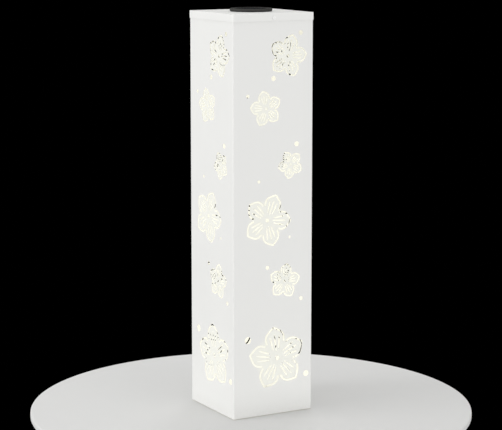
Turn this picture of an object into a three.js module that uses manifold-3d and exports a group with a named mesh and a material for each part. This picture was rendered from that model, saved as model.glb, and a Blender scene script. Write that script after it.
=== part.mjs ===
// A square sheet-metal column lantern, 180 x 180 x 803 mm, with flowers cut through all four walls,
// a lift-off lid and a round solar lamp module that drops into the lid.
// Millimetres, +Z up. The origin is on the floor, under the middle of the column.
import * as THREE from "three";
import { mergeVertices } from "three/addons/utils/BufferGeometryUtils.js";
import Module from "manifold-3d";

const wasm = await Module();
wasm.setup();

// ---- Driving dimensions ----

const GAP = 0.3; // clearance between pieces that touch
const ROUND = 16; // facets around a small turned piece
const FINE_ROUND = 30; // facets around the module

const WALL = { side: 180, sheet: 0.6, radius: 3, bottom: 1.5 };
const LID = { top: 803.1, sheet: 1, skirt: 15, hole: 35 };
LID.side = WALL.side + 2 * (GAP + LID.sheet);
WALL.top = LID.top - LID.sheet - GAP;

const BASE = { z: 4.5, sheet: 0.8, flange: 15, notch: 6, drain: 3, drainAt: 40 };
BASE.side = WALL.side - 2 * (WALL.sheet + GAP);
const FOOT = { radius: 8, rim: 1.2, stem: 2.6, barb: 3.8, tip: 2.4, at: 72 };

const LID_SCREW = { z: 793.5, shank: 1.9, head: 3.6, headHeight: 2, length: 9 };
const LID_NUT = { acrossCorners: 4.2, height: 3 };

// The cut-outs, the same on every wall. u runs from the left edge of a wall as seen from outside,
// z from its bottom edge. turn is the angle of one petal, counter-clockwise from the u direction.
const FLOWERS = [
  { u: 122.4, z: 718, radius: 43.4, turn: 3 },
  { u: 73.4, z: 616.5, radius: 36, turn: 30 },
  { u: 129, z: 503, radius: 28.6, turn: 45 },
  { u: 76.7, z: 395.4, radius: 54.4, turn: -3.8 },
  { u: 116.3, z: 269.6, radius: 36, turn: 9.3 },
  { u: 99.7, z: 114.5, radius: 65.4, turn: 26 },
];
const DOTS = [
  { u: 151.5, z: 762.5, diameter: 9 },
  { u: 90, z: 675, diameter: 10 },
  { u: 32.5, z: 642.5, diameter: 7 },
  { u: 143, z: 543.5, diameter: 10 },
  { u: 57.5, z: 473.5, diameter: 6 },
  { u: 127.5, z: 358, diameter: 5 },
  { u: 77, z: 300, diameter: 8 },
  { u: 154.5, z: 231, diameter: 8 },
  { u: 32.5, z: 157.5, diameter: 14 },
  { u: 167, z: 74.5, diameter: 12 },
];
const PETALS = 5;
const DOT_FACETS = 8;
// Half of a petal's outline slot, and its three vein slots, as shares of the flower's radius: along the
// petal, then across it. The outlines stop short of each other, and the webs between them hold the flower.
const PETAL_LINE = [[0.5, -0.3], [0.62, -0.318], [0.8, -0.235], [0.965, 0]];
const VEIN_LINES = [
  [[0.27, 0], [0.72, 0]],
  [[0.3, -0.1], [0.66, -0.16]],
  [[0.3, 0.1], [0.66, 0.16]],
];
const SLOT_WIDTH = { least: 1.6, growth: 0.025, veinShare: 0.75 }; // grows with the flower's radius
const HUB_HOLE = 0.07; // radius of the hole in a flower's middle, as a share of its own

// The lamp module. Its heights are above the lid's top face.
const MODULE = { flange: 42.2, height: 6.2, barrel: 33.5, wall: 2.2, depth: 24, sheet: 2 };
const GASKET = { outer: 41.2, inner: 35.6, thickness: 1 };
const RECESS = { radius: 31.7, floor: 2.4, ledge: 27.5, ledgeUnder: 0.8 };
const CELL_THICKNESS = 1.6;
const CLEAR_THICKNESS = 0.9;
const BOARD = { radius: 29, z: -7.7, thickness: 1.6 };
const CHIP = { from: [-9, -14], to: [-3, -9], height: 1.2 };
const DIODE = { from: [2, 4], to: [9, 7], height: 0.9 };
const COIL = { x: 8, y: -10, radius: 3.4, height: 2.4 };
const BATTERY = { radius: 7.1, length: 50, y: 7.2, z: -15.4, cap: 2.6, capLength: 1.4 };
const CONTACT = { size: 9, thickness: 0.5, springRoom: 2.8 };
const LAMP = { y: -15, ledRadius: 2.5, lensRadius: 11.5, lensDrop: 5, cupTop: 4.2, cupWall: 0.8 };
const BOSS = { at: 27.2, radius: 3, bore: 1.5, height: 16, angles: [90, 210, 330] };
const MODULE_SCREW = { shank: 1.1, head: 2.4, headHeight: 1.5, length: 12 };
const DOOR = { x: 25.7, near: -0.1, far: 14.5, openFar: 15.2 };
const HINGE = { y: -1.9, drop: 2, barrel: 1.7, bore: 1, pin: 0.7, lug: 4, lugAt: 19, barrelAt: 14.5 };
const SWITCH = { x: 14, y: 20.5, travel: 3, nub: 3, nubWidth: 2, bodyHeight: 6 };

// ---- Shapes ----

function solidOf(geometry) {
  const bare = geometry.clone();
  bare.deleteAttribute("normal");
  bare.deleteAttribute("uv");
  const merged = mergeVertices(bare, 1e-4);
  return new wasm.Manifold(
    new wasm.Mesh({
      numProp: 3,
      vertProperties: merged.attributes.position.array,
      triVerts: new Uint32Array(merged.index.array),
    }),
  );
}

function geometryOf(solid) {
  const { vertProperties, triVerts } = solid.getMesh();
  const geometry = new THREE.BufferGeometry();
  geometry.setAttribute("position", new THREE.BufferAttribute(vertProperties, 3));
  geometry.setIndex(new THREE.BufferAttribute(triVerts, 1));
  return geometry;
}

function join(...geometries) {
  return geometryOf(geometries.map(solidOf).reduce((all, next) => all.add(next)));
}

function cut(geometry, ...tools) {
  return geometryOf(tools.map(solidOf).reduce((all, next) => all.subtract(next), solidOf(geometry)));
}

// A box given by its lowest and highest corners.
function box([x0, y0, z0], [x1, y1, z1]) {
  const geometry = new THREE.BoxGeometry(x1 - x0, y1 - y0, z1 - z0);
  return geometry.translate((x0 + x1) / 2, (y0 + y1) / 2, (z0 + z1) / 2);
}

// A turned piece about Z from (radius, height) points that run up the outside.
function turned(profile, facets = ROUND) {
  const points = profile.map(([radius, z]) => new THREE.Vector2(radius, z));
  return new THREE.LatheGeometry(points, facets).rotateX(Math.PI / 2);
}

// A plain disc or rod about Z.
function rod(radius, z0, z1, facets = ROUND) {
  return turned([[0, z0], [radius, z0], [radius, z1], [0, z1]], facets);
}

// A flat ring about Z.
function ring(outer, inner, z0, z1, facets = FINE_ROUND) {
  return turned([[inner, z0], [outer, z0], [outer, z1], [inner, z1], [inner, z0]], facets);
}

// A prism that stands on z0 and ends at z1, from a plan shape.
function prism(shape, z0, z1, curveSegments = 3) {
  const geometry = new THREE.ExtrudeGeometry(shape, { depth: z1 - z0, bevelEnabled: false, curveSegments });
  return geometry.translate(0, 0, z0);
}

function roundedSquare(side, radius) {
  const edge = side / 2 - radius;
  const shape = new THREE.Shape();
  [[1, -1, -90], [1, 1, 0], [-1, 1, 90], [-1, -1, 180]].forEach(([sx, sy, start]) => {
    const from = THREE.MathUtils.degToRad(start);
    shape.absarc(sx * edge, sy * edge, radius, from, from + Math.PI / 2);
  });
  return shape;
}

// The outline of a slot of constant width along an open line of points, with square ends.
function slotShape(line, width) {
  const points = line.map(([x, y]) => new THREE.Vector2(x, y));
  const normals = points.slice(1).map((point, i) => {
    const along = point.clone().sub(points[i]).normalize();
    return new THREE.Vector2(-along.y, along.x);
  });
  const offsets = points.map((point, i) => {
    const before = normals[Math.max(i - 1, 0)];
    const after = normals[Math.min(i, normals.length - 1)];
    const mitre = before.clone().add(after).normalize();
    return mitre.multiplyScalar(width / 2 / mitre.dot(after));
  });
  const left = points.map((point, i) => point.clone().add(offsets[i]));
  const right = points.map((point, i) => point.clone().sub(offsets[i]));
  return new THREE.Shape([...right, ...left.reverse()]);
}

// ---- The column ----

// Places a point of a petal's own frame on the wall, in (x, z) with x from the wall's middle.
function onPetal(flower, petal, [along, across]) {
  const angle = THREE.MathUtils.degToRad(flower.turn + (360 / PETALS) * petal);
  const [a, b] = [along * flower.radius, across * flower.radius];
  const x = flower.u - WALL.side / 2 + a * Math.cos(angle) - b * Math.sin(angle);
  return [x, WALL.bottom + flower.z + a * Math.sin(angle) + b * Math.cos(angle)];
}

function circleShape(x, z, radius) {
  return new THREE.Shape(
    Array.from({ length: DOT_FACETS }, (_, i) => {
      const angle = (2 * Math.PI * i) / DOT_FACETS;
      return new THREE.Vector2(x + radius * Math.cos(angle), z + radius * Math.sin(angle));
    }),
  );
}

// Every cut-out of one wall, as shapes in (x, z).
function wallCutOuts() {
  const mirrored = PETAL_LINE.slice(0, -1).reverse().map(([along, across]) => [along, -across]);
  const outline = [...PETAL_LINE, ...mirrored];
  const shapes = [];
  for (const flower of FLOWERS) {
    const width = SLOT_WIDTH.least + SLOT_WIDTH.growth * flower.radius;
    const slots = [[outline, width], ...VEIN_LINES.map((line) => [line, SLOT_WIDTH.veinShare * width])];
    for (let petal = 0; petal < PETALS; petal++) {
      for (const [line, slotWidth] of slots) {
        shapes.push(slotShape(line.map((point) => onPetal(flower, petal, point)), slotWidth));
      }
    }
    const [x, z] = onPetal(flower, 0, [0, 0]);
    shapes.push(circleShape(x, z, HUB_HOLE * flower.radius));
  }
  for (const dot of DOTS) {
    shapes.push(circleShape(dot.u - WALL.side / 2, WALL.bottom + dot.z, dot.diameter / 2));
  }
  return shapes;
}

// One wall, on the -Y side: a flat sheet whose two upright edges are rolled half way round the corner.
function wallGeometry() {
  const flat = WALL.side / 2 - WALL.radius;
  const centre = -flat;
  const reach = Math.PI / 4 - GAP / 2 / WALL.radius;
  const shape = new THREE.Shape();
  const down = -Math.PI / 2;
  shape.absarc(-flat, centre, WALL.radius, down - reach, down);
  shape.absarc(flat, centre, WALL.radius, down, down + reach);
  shape.absarc(flat, centre, WALL.radius - WALL.sheet, down + reach, down, true);
  shape.absarc(-flat, centre, WALL.radius - WALL.sheet, down, down - reach, true);
  const sheet = prism(shape, WALL.bottom, WALL.top, 2);
  // The cut-outs are drawn in (x, z) and go through along Y.
  const depth = 4 * WALL.sheet;
  const cutters = new THREE.ExtrudeGeometry(wallCutOuts(), { depth, bevelEnabled: false });
  cutters.rotateX(Math.PI / 2).translate(0, -WALL.side / 2 + depth / 2, 0);
  // The lid screw's notch is open at the top edge, so that the screw lifts out with the lid.
  const half = LID_SCREW.shank + GAP;
  const y = -WALL.side / 2;
  const notch = box([-half, y - 1, LID_SCREW.z - half], [half, y + depth, WALL.top + 1]);
  return cut(sheet, cutters, notch);
}

// The folded floor tray, spot-welded inside the walls. Its corners are notched for the folds.
function basePlateGeometry() {
  const half = BASE.side / 2;
  const inner = half - BASE.sheet;
  const reach = half - BASE.notch;
  const top = BASE.z + BASE.sheet;
  const pieces = [
    box([-half, -reach, BASE.z], [half, reach, top]),
    box([-reach, -half, BASE.z], [reach, half, top]),
  ];
  for (const side of [-1, 1]) {
    const [low, high] = side < 0 ? [-half, -inner] : [inner, half];
    pieces.push(box([low, -reach, BASE.z], [high, reach, BASE.z + BASE.flange]));
    pieces.push(box([-reach, low, BASE.z], [reach, high, BASE.z + BASE.flange]));
  }
  const holes = [];
  for (const sx of [-1, 1]) {
    for (const sy of [-1, 1]) {
      const through = [BASE.z - 1, top + 1];
      holes.push(rod(FOOT.stem + GAP, ...through).translate(sx * FOOT.at, sy * FOOT.at, 0));
      holes.push(rod(BASE.drain, ...through).translate(sx * BASE.drainAt, sy * BASE.drainAt, 0));
    }
  }
  return cut(join(...pieces), ...holes);
}

// A push-in rubber bumper: a pad under the tray and a barbed stem through it.
function footGeometry() {
  const pad = BASE.z - GAP;
  const over = BASE.z + BASE.sheet + GAP;
  const { radius, rim, stem, barb, tip } = FOOT;
  const profile = [[0, 0], [radius - rim, 0], [radius, rim], [radius, pad], [stem, pad], [stem, over]];
  return turned([...profile, [barb, over], [stem, over + tip], [0, over + tip]]);
}

// ---- The lid ----

function lidGeometry() {
  const inside = LID.side - 2 * LID.sheet;
  const bottom = LID.top - LID.skirt;
  const outer = prism(roundedSquare(LID.side, WALL.radius + GAP + LID.sheet), bottom, LID.top);
  const hollow = prism(roundedSquare(inside, WALL.radius + GAP), bottom - 1, LID.top - LID.sheet);
  const seat = rod(LID.hole, LID.top - 2 * LID.sheet, LID.top + 1, FINE_ROUND);
  const screwHole = rod(LID_SCREW.shank + GAP, -LID.side, LID.side, 12).rotateX(Math.PI / 2);
  return cut(outer, hollow, seat, screwHole.translate(0, 0, LID_SCREW.z));
}

// A pan-head screw along +Y, its head outside the skirt on the -Y side.
function lidScrewGeometry() {
  const { shank, head, headHeight, length } = LID_SCREW;
  const top = headHeight + GAP;
  const profile = [[0, -length], [shank, -length], [shank, GAP], [head, GAP], [head, 0.5 * top]];
  return turned([...profile, [0.7 * head, top], [0, top]], 16)
    .rotateX(Math.PI / 2)
    .translate(0, -LID.side / 2, LID_SCREW.z);
}

// The hexagonal nut inside the wall.
function lidNutGeometry() {
  const face = WALL.side / 2 - WALL.sheet - GAP;
  return ring(LID_NUT.acrossCorners, LID_SCREW.shank + GAP, face - LID_NUT.height, face, 6)
    .rotateX(Math.PI / 2)
    .translate(0, 0, LID_SCREW.z);
}

// ---- The lamp module ----

const under = -MODULE.depth - GAP; // upper face of the module's bottom cover
const bottom = under - MODULE.sheet; // its lower face
const hingeZ = bottom - HINGE.drop;

// Places a copy of a geometry at each of the three screw bosses.
function atBosses(make) {
  return BOSS.angles.map((degrees) => {
    const angle = THREE.MathUtils.degToRad(degrees);
    return make().translate(BOSS.at * Math.cos(angle), BOSS.at * Math.sin(angle), 0);
  });
}

function housingGeometry() {
  const lip = GASKET.thickness + 2 * GAP;
  const inner = MODULE.barrel - MODULE.wall;
  const { radius, floor, ledge, ledgeUnder } = RECESS;
  const shell = turned(
    [
      [inner, -MODULE.depth], [MODULE.barrel, -MODULE.depth], [MODULE.barrel, lip],
      [MODULE.flange, lip], [MODULE.flange, MODULE.height - 1], [MODULE.flange - 1, MODULE.height],
      [radius, MODULE.height], [radius, floor], [ledge, floor], [ledge, ledgeUnder],
      [inner, ledgeUnder], [inner, -MODULE.depth],
    ],
    FINE_ROUND,
  );
  const bosses = atBosses(() => rod(BOSS.radius, -MODULE.depth, -MODULE.depth + BOSS.height, 12));
  const rib = [inner - 3.4, -1.2];
  const ribs = BOSS.angles.map((degrees) =>
    box([rib[0], rib[1], -MODULE.depth], [inner + 1, -rib[1], -MODULE.depth + BOSS.height])
      .rotateZ(THREE.MathUtils.degToRad(degrees)),
  );
  const bores = atBosses(() => rod(BOSS.bore, -MODULE.depth - 1, -MODULE.depth + BOSS.height - 2, 12));
  return cut(join(shell, ...bosses, ...ribs), ...bores);
}

// A point (y, z) of the door's hinge, as a rod along X between two x values.
function hingeRod(radius, x0, x1) {
  return rod(radius, x0, x1, 12).rotateY(Math.PI / 2).translate(0, HINGE.y, hingeZ);
}

// The two places along X of a pair of hinge lugs.
function lugSpans(at) {
  return [-at, at].map((x) => [x - HINGE.lug / 2, x + HINGE.lug / 2]);
}

function bottomCoverGeometry() {
  const lugs = lugSpans(HINGE.lugAt).flatMap(([x0, x1]) => [
    box([x0, HINGE.y - HINGE.barrel, hingeZ], [x1, HINGE.y + 1.2, bottom + 0.5]),
    hingeRod(HINGE.barrel, x0, x1),
  ]);
  const across = DOOR.x + GAP;
  const slotX = (SWITCH.nub + SWITCH.travel) / 2 + GAP;
  const slotY = SWITCH.nubWidth / 2 + GAP;
  return cut(
    join(rod(MODULE.barrel, bottom, under, FINE_ROUND), ...lugs),
    box([-across, DOOR.near - GAP, bottom - 1], [across, DOOR.openFar, under + 1]),
    rod(LAMP.lensRadius + GAP, bottom - 1, under + 1).translate(0, LAMP.y, 0),
    box([SWITCH.x - slotX, SWITCH.y - slotY, bottom - 1], [SWITCH.x + slotX, SWITCH.y + slotY, under + 1]),
    hingeRod(HINGE.bore, -LID.side, LID.side),
    ...atBosses(() => rod(BOSS.bore, bottom - 1, under + 1, 12)),
  );
}

function batteryDoorGeometry() {
  const arms = lugSpans(HINGE.barrelAt).flatMap(([x0, x1]) => [
    hingeRod(HINGE.barrel, x0, x1),
    box([x0, HINGE.y, hingeZ - HINGE.barrel], [x1, DOOR.near + 2, hingeZ + 1]),
    box([x0, DOOR.near, hingeZ], [x1, DOOR.near + 2, bottom + 0.5]),
  ]);
  const plate = box([-DOOR.x, DOOR.near, bottom], [DOOR.x, DOOR.far, under]);
  return cut(join(plate, ...arms), hingeRod(HINGE.bore, -LID.side, LID.side));
}

// The round circuit board, which sits on the bosses' tops, with its chip, coil and charging diode.
function boardGeometry() {
  const { radius, z, thickness } = BOARD;
  const top = z + thickness;
  const seat = top - 0.1;
  return join(
    rod(radius, z, top, FINE_ROUND),
    box([...CHIP.from, seat], [...CHIP.to, top + CHIP.height]),
    rod(COIL.radius, seat, top + COIL.height, 12).translate(COIL.x, COIL.y, 0),
    box([...DIODE.from, seat], [...DIODE.to, top + DIODE.height]),
  );
}

function batteryGeometry() {
  const { radius, length, cap, capLength, y, z } = BATTERY;
  const [low, high] = [-length / 2, length / 2 - capLength];
  const end = high + capLength;
  const profile = [[0, low], [radius, low], [radius, high], [cap, high], [cap, end], [0, end]];
  return turned(profile).rotateY(Math.PI / 2).translate(0, y, z);
}

// A coil spring that presses on the battery's flat end.
function contactSpringGeometry() {
  const turns = 2.5;
  const steps = 18;
  const wire = 0.4;
  const near = -BATTERY.length / 2 - wire - GAP;
  const far = -BATTERY.length / 2 - CONTACT.springRoom + wire + GAP;
  const points = Array.from({ length: steps + 1 }, (_, i) => {
    const share = i / steps;
    const angle = 2 * Math.PI * turns * share;
    const radius = 2 + 2 * share;
    const x = near + (far - near) * share;
    return new THREE.Vector3(x, radius * Math.cos(angle), radius * Math.sin(angle));
  });
  const section = new THREE.Shape();
  section.absarc(0, 0, wire, 0, 2 * Math.PI);
  return new THREE.ExtrudeGeometry(section, {
    steps,
    curveSegments: 5,
    bevelEnabled: false,
    extrudePath: new THREE.CatmullRomCurve3(points),
  }).translate(0, BATTERY.y, BATTERY.z);
}

// A contact plate outside one end of the battery.
function contactPlateGeometry(side) {
  const { size, thickness, springRoom } = CONTACT;
  const { y, z, length } = BATTERY;
  const inner = length / 2 + (side > 0 ? GAP : springRoom);
  const [x0, x1] = side > 0 ? [inner, inner + thickness] : [-inner - thickness, -inner];
  return box([x0, y - size / 2, z - size / 2], [x1, y + size / 2, z + size / 2]);
}

function ledGeometry() {
  const top = BOARD.z - GAP;
  const { ledRadius } = LAMP;
  return turned(
    [[0, top - 7], [1.6, top - 6.4], [ledRadius, top - 4.5], [ledRadius, top - 1], [ledRadius + 0.4, top - 1],
      [ledRadius + 0.4, top], [0, top]],
    16,
  ).translate(0, LAMP.y, 0);
}

// A flared cup that throws the lamp's light down through the lens.
function reflectorGeometry() {
  const { cupTop, cupWall, lensRadius, y } = LAMP;
  const [low, high] = [under + 1, BOARD.z - 2];
  const wide = lensRadius - cupWall;
  return turned([[wide, low], [lensRadius, low], [cupTop, high], [cupTop - cupWall, high], [wide, low]])
    .translate(0, y, 0);
}

function lensGeometry() {
  const { lensRadius, lensDrop, y } = LAMP;
  const arc = Array.from({ length: 6 }, (_, i) => {
    const angle = (Math.PI / 2) * (i / 5);
    return [lensRadius * Math.sin(angle), bottom - lensDrop * Math.cos(angle)];
  });
  return turned([...arc, [lensRadius, under], [0, under]]).translate(0, y, 0);
}

function moduleScrewGeometry() {
  const { shank, head, headHeight, length } = MODULE_SCREW;
  const seat = bottom - GAP;
  const low = seat - headHeight;
  return turned([[0, low], [head * 0.7, low], [head, low + 0.6], [head, seat], [shank, seat],
    [shank, seat + length], [0, seat + length]], 12);
}

// The switch's fixed body, and the slider that stands through the bottom cover at the end of its slot.
function switchBodyGeometry() {
  const low = under + 1.5;
  const { x, y, bodyHeight } = SWITCH;
  return box([x - 5, y - 2.4, low], [x + 5, y + 2.4, low + bodyHeight]);
}

function switchSliderGeometry() {
  const { x, y, travel, nub, nubWidth } = SWITCH;
  const start = x - (nub + travel) / 2;
  const shoe = under + GAP;
  return join(
    box([start, y - nubWidth / 2, bottom - 1.6], [start + nub, y + nubWidth / 2, shoe + 0.5]),
    box([start - 1, y - 2, shoe], [start + nub + 1, y + 2, shoe + 0.8]),
  );
}

// ---- Assembly ----

const FINISH = {
  white: { color: 0xe9e9e5, roughness: 0.45, metalness: 0 },
  rubber: { color: 0x1b1b1b, roughness: 0.85, metalness: 0 },
  foam: { color: 0x242424, roughness: 0.95, metalness: 0 },
  black: { color: 0x3c3c3c, roughness: 0.5, metalness: 0 },
  steel: { color: 0xb9bbbd, roughness: 0.3, metalness: 1 },
  cell: { color: 0x11141c, roughness: 0.25, metalness: 0.1 },
  clear: { color: 0x2a2c2e, roughness: 0.08, metalness: 0 },
  board: { color: 0x1f5a34, roughness: 0.5, metalness: 0 },
  battery: { color: 0x3a6f46, roughness: 0.35, metalness: 0 },
  chrome: { color: 0xdddddd, roughness: 0.1, metalness: 1 },
  lamp: { color: 0xffe6b0, roughness: 0.3, metalness: 0 },
};

function addPiece(parent, name, geometry, finish) {
  const mesh = new THREE.Mesh(geometry, new THREE.MeshStandardMaterial(FINISH[finish]));
  mesh.name = name;
  parent.add(mesh);
  return mesh;
}

const lantern = new THREE.Group();
const lampModule = new THREE.Group();
lampModule.position.z = LID.top;
lantern.add(lampModule);

const SIDES = { front: 0, right: 90, back: 180, left: -90 };
for (const [side, degrees] of Object.entries(SIDES)) {
  const wall = addPiece(lantern, "panel_" + side, wallGeometry(), "white");
  wall.rotation.z = THREE.MathUtils.degToRad(degrees);
}
addPiece(lantern, "base_plate", basePlateGeometry(), "white");
[[-1, -1], [1, -1], [1, 1], [-1, 1]].forEach(([sx, sy], i) => {
  const foot = addPiece(lantern, "rubber_foot_" + (i + 1), footGeometry(), "rubber");
  foot.position.set(sx * FOOT.at, sy * FOOT.at, 0);
});

addPiece(lantern, "lid", lidGeometry(), "white");
for (const side of ["front", "back"]) {
  const turn = THREE.MathUtils.degToRad(SIDES[side]);
  addPiece(lantern, "lid_screw_" + side, lidScrewGeometry(), "steel").rotation.z = turn;
  addPiece(lantern, "lid_nut_" + side, lidNutGeometry(), "steel").rotation.z = turn;
}

const { outer, inner, thickness } = GASKET;
addPiece(lampModule, "module_gasket", ring(outer, inner, GAP, GAP + thickness), "foam");
addPiece(lampModule, "module_housing", housingGeometry(), "black");
const cellBottom = RECESS.floor + GAP;
const clearBottom = cellBottom + CELL_THICKNESS + GAP;
const discRadius = RECESS.radius - GAP;
const cellTop = cellBottom + CELL_THICKNESS;
addPiece(lampModule, "solar_cell", rod(discRadius, cellBottom, cellTop, FINE_ROUND), "cell");
const clearTop = clearBottom + CLEAR_THICKNESS;
addPiece(lampModule, "clear_cover", rod(discRadius, clearBottom, clearTop, FINE_ROUND), "clear");
addPiece(lampModule, "circuit_board", boardGeometry(), "board");
addPiece(lampModule, "battery", batteryGeometry(), "battery");
addPiece(lampModule, "contact_spring", contactSpringGeometry(), "steel");
addPiece(lampModule, "contact_plate_minus", contactPlateGeometry(-1), "steel");
addPiece(lampModule, "contact_plate_plus", contactPlateGeometry(1), "steel");
addPiece(lampModule, "led", ledGeometry(), "lamp");
addPiece(lampModule, "reflector", reflectorGeometry(), "chrome");
addPiece(lampModule, "lens", lensGeometry(), "lamp");
addPiece(lampModule, "bottom_cover", bottomCoverGeometry(), "black");
addPiece(lampModule, "battery_door", batteryDoorGeometry(), "black");
const pinEnd = HINGE.lugAt + HINGE.lug / 2;
addPiece(lampModule, "door_hinge_pin", hingeRod(HINGE.pin, -pinEnd, pinEnd), "steel");
addPiece(lampModule, "switch_body", switchBodyGeometry(), "black");
addPiece(lampModule, "switch_slider", switchSliderGeometry(), "black");
atBosses(moduleScrewGeometry).forEach((geometry, i) => {
  addPiece(lampModule, "module_screw_" + (i + 1), geometry, "steel");
});

export default lantern;
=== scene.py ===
"""Column lantern: a square white sheet-steel column with flower cut-outs, a lift-off lid and a drop-in lamp module.

Shapes are in millimetres, with z up from the floor, and become metres when a mesh is made. Finishes and
the studio are in metres.
"""

import logging
import math
from dataclasses import dataclass, field, replace
from enum import Enum

import bmesh
import bpy
import numpy as np
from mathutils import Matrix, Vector
from mathutils.geometry import delaunay_2d_cdt


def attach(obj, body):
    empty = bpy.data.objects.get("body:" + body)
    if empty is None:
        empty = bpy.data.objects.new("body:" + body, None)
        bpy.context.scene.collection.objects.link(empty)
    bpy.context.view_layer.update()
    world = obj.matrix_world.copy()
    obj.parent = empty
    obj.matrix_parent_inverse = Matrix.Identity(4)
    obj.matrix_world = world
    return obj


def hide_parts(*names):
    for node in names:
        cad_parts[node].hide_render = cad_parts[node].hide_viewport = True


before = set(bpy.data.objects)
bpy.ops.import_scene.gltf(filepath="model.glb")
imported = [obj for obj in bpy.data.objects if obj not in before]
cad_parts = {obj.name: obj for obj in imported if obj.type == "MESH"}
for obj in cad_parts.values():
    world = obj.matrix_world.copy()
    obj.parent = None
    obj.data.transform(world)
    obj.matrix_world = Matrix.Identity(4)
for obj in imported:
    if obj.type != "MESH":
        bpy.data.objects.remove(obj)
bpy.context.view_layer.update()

logging.basicConfig(level=logging.INFO, format="%(message)s")
log = logging.getLogger("lantern")

MM = 0.001
GAP = 0.3
Colour = tuple[float, float, float]
Place = tuple[float, float, float]
Rows = tuple[tuple[float, ...], ...]
Array = np.ndarray


# ---- Shader graphs ----


class Value:
    """A number inside a material, on which Python arithmetic adds Math nodes."""

    def __init__(self, graph: "Graph", socket: bpy.types.NodeSocket) -> None:
        """Wraps a socket of the graph."""
        self.graph = graph
        self.socket = socket

    def apply(self, operation: str, *others: "Value | float", first: bool = True) -> "Value":
        """Adds one Math node.

        Args:
            operation: The Math node's operation.
            others: The remaining inputs.
            first: False puts this value after the first of the others.

        Returns:
            The node's result.
        """
        terms = [self, *others] if first else [others[0], self]
        node = self.graph.node("ShaderNodeMath", {"operation": operation}, dict(enumerate(terms)))
        return Value(self.graph, node.outputs[0])

    def __add__(self, other: "Value | float") -> "Value":
        """Sum."""
        return self.apply("ADD", other)

    __radd__ = __add__

    def __sub__(self, other: "Value | float") -> "Value":
        """Difference."""
        return self.apply("SUBTRACT", other)

    def __rsub__(self, other: float) -> "Value":
        """Reflected difference."""
        return self.apply("SUBTRACT", other, first=False)

    def __mul__(self, other: "Value | float") -> "Value":
        """Product."""
        return self.apply("MULTIPLY", other)

    __rmul__ = __mul__

    def __truediv__(self, other: "Value | float") -> "Value":
        """Quotient."""
        return self.apply("DIVIDE", other)

    def __abs__(self) -> "Value":
        """Size without sign."""
        return self.apply("ABSOLUTE")

    def highest(self, other: "Value | float") -> "Value":
        """The larger of the two."""
        return self.apply("MAXIMUM", other)

    def below(self, limit: "Value | float") -> "Value":
        """1 where this value is under the limit, else 0."""
        return self.apply("LESS_THAN", limit)

    def ramp(self, low: float, high: float) -> "Value":
        """0 at low and 1 at high, straight in between and held outside.

        Args:
            low: Where the ramp starts.
            high: Where it ends.

        Returns:
            The ramp.
        """
        settings = {"clamp": True}
        node = self.graph.node("ShaderNodeMapRange", settings, {0: self, 1: low, 2: high})
        return Value(self.graph, node.outputs[0])

    def line(self, pitch: float, width: float) -> "Value":
        """1 on thin lines of the given width, one pitch apart, else 0."""
        return abs((self / pitch).apply("FRACT") - 0.5).below(width / pitch / 2)


class Graph:
    """One material's nodes, ending in a Principled shader."""

    def __init__(self, name: str) -> None:
        """Starts an empty material of the given name.

        Args:
            name: The material's name.
        """
        self.material = bpy.data.materials.new(name)
        self.material.use_nodes = True
        self.tree = self.material.node_tree
        self.shader = self.tree.nodes["Principled BSDF"]
        where = self.node("ShaderNodeTexCoord", {}, {}).outputs["Object"]
        self.where = where
        axes = self.node("ShaderNodeSeparateXYZ", {}, {0: where})
        self.x, self.y, self.z = (Value(self, axes.outputs[i]) for i in range(3))

    def node(self, kind: str, settings: dict, inputs: dict) -> bpy.types.Node:
        """Adds a node.

        Args:
            kind: The node's type.
            settings: Its properties, set first.
            inputs: A value, a link or a Value for each input, by name or number.

        Returns:
            The new node.
        """
        node = self.tree.nodes.new(kind)
        for key, value in settings.items():
            setattr(node, key, value)
        self.plug(node, inputs)
        return node

    def plug(self, node: bpy.types.Node, inputs: dict) -> None:
        """Sets or links a node's inputs, by name or number. A plain colour is made opaque.

        Args:
            node: The node.
            inputs: A value, a link or a Value for each input.
        """
        for key, value in inputs.items():
            source = value.socket if isinstance(value, Value) else value
            socket = node.inputs[key]
            if isinstance(source, bpy.types.NodeSocket):
                self.tree.links.new(source, socket)
            else:
                socket.default_value = (*source, 1) if socket.type == "RGBA" else source

    def noise(self, size: float, detail: float = 2.0, stretch: Place = (1, 1, 1)) -> Value:
        """Noise about 0.5 whose features are about size metres wide.

        Args:
            size: Width of a feature in metres.
            detail: How many finer layers it has.
            stretch: Factors on x, y and z, under 1 for features that run along that axis.

        Returns:
            The noise value.
        """
        scaled = self.node("ShaderNodeMapping", {}, {"Vector": self.where, "Scale": stretch}).outputs[0]
        inputs = {"Vector": scaled, "Scale": 1 / size, "Detail": detail}
        return Value(self, self.node("ShaderNodeTexNoise", {}, inputs).outputs[0])

    def blend(
        self, share: Value, low: Colour | bpy.types.NodeSocket, high: Colour | bpy.types.NodeSocket
    ) -> bpy.types.NodeSocket:
        """Mixes two colours, the first where the share is 0 and the second where it is 1."""
        return self.node("ShaderNodeMix", {"data_type": "RGBA"}, {0: share, 6: low, 7: high}).outputs[2]

    def bump(self, height: Value, depth: float) -> None:
        """Feeds the shader's normal from a height, whose full range stands depth metres proud."""
        inputs = {"Height": height, "Distance": depth, "Strength": 1.0}
        self.feed({"Normal": self.node("ShaderNodeBump", {}, inputs).outputs[0]})

    def feed(self, inputs: dict) -> None:
        """Sets or links the shader's sockets by name."""
        self.plug(self.shader, inputs)


# ---- Finishes ----


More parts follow.
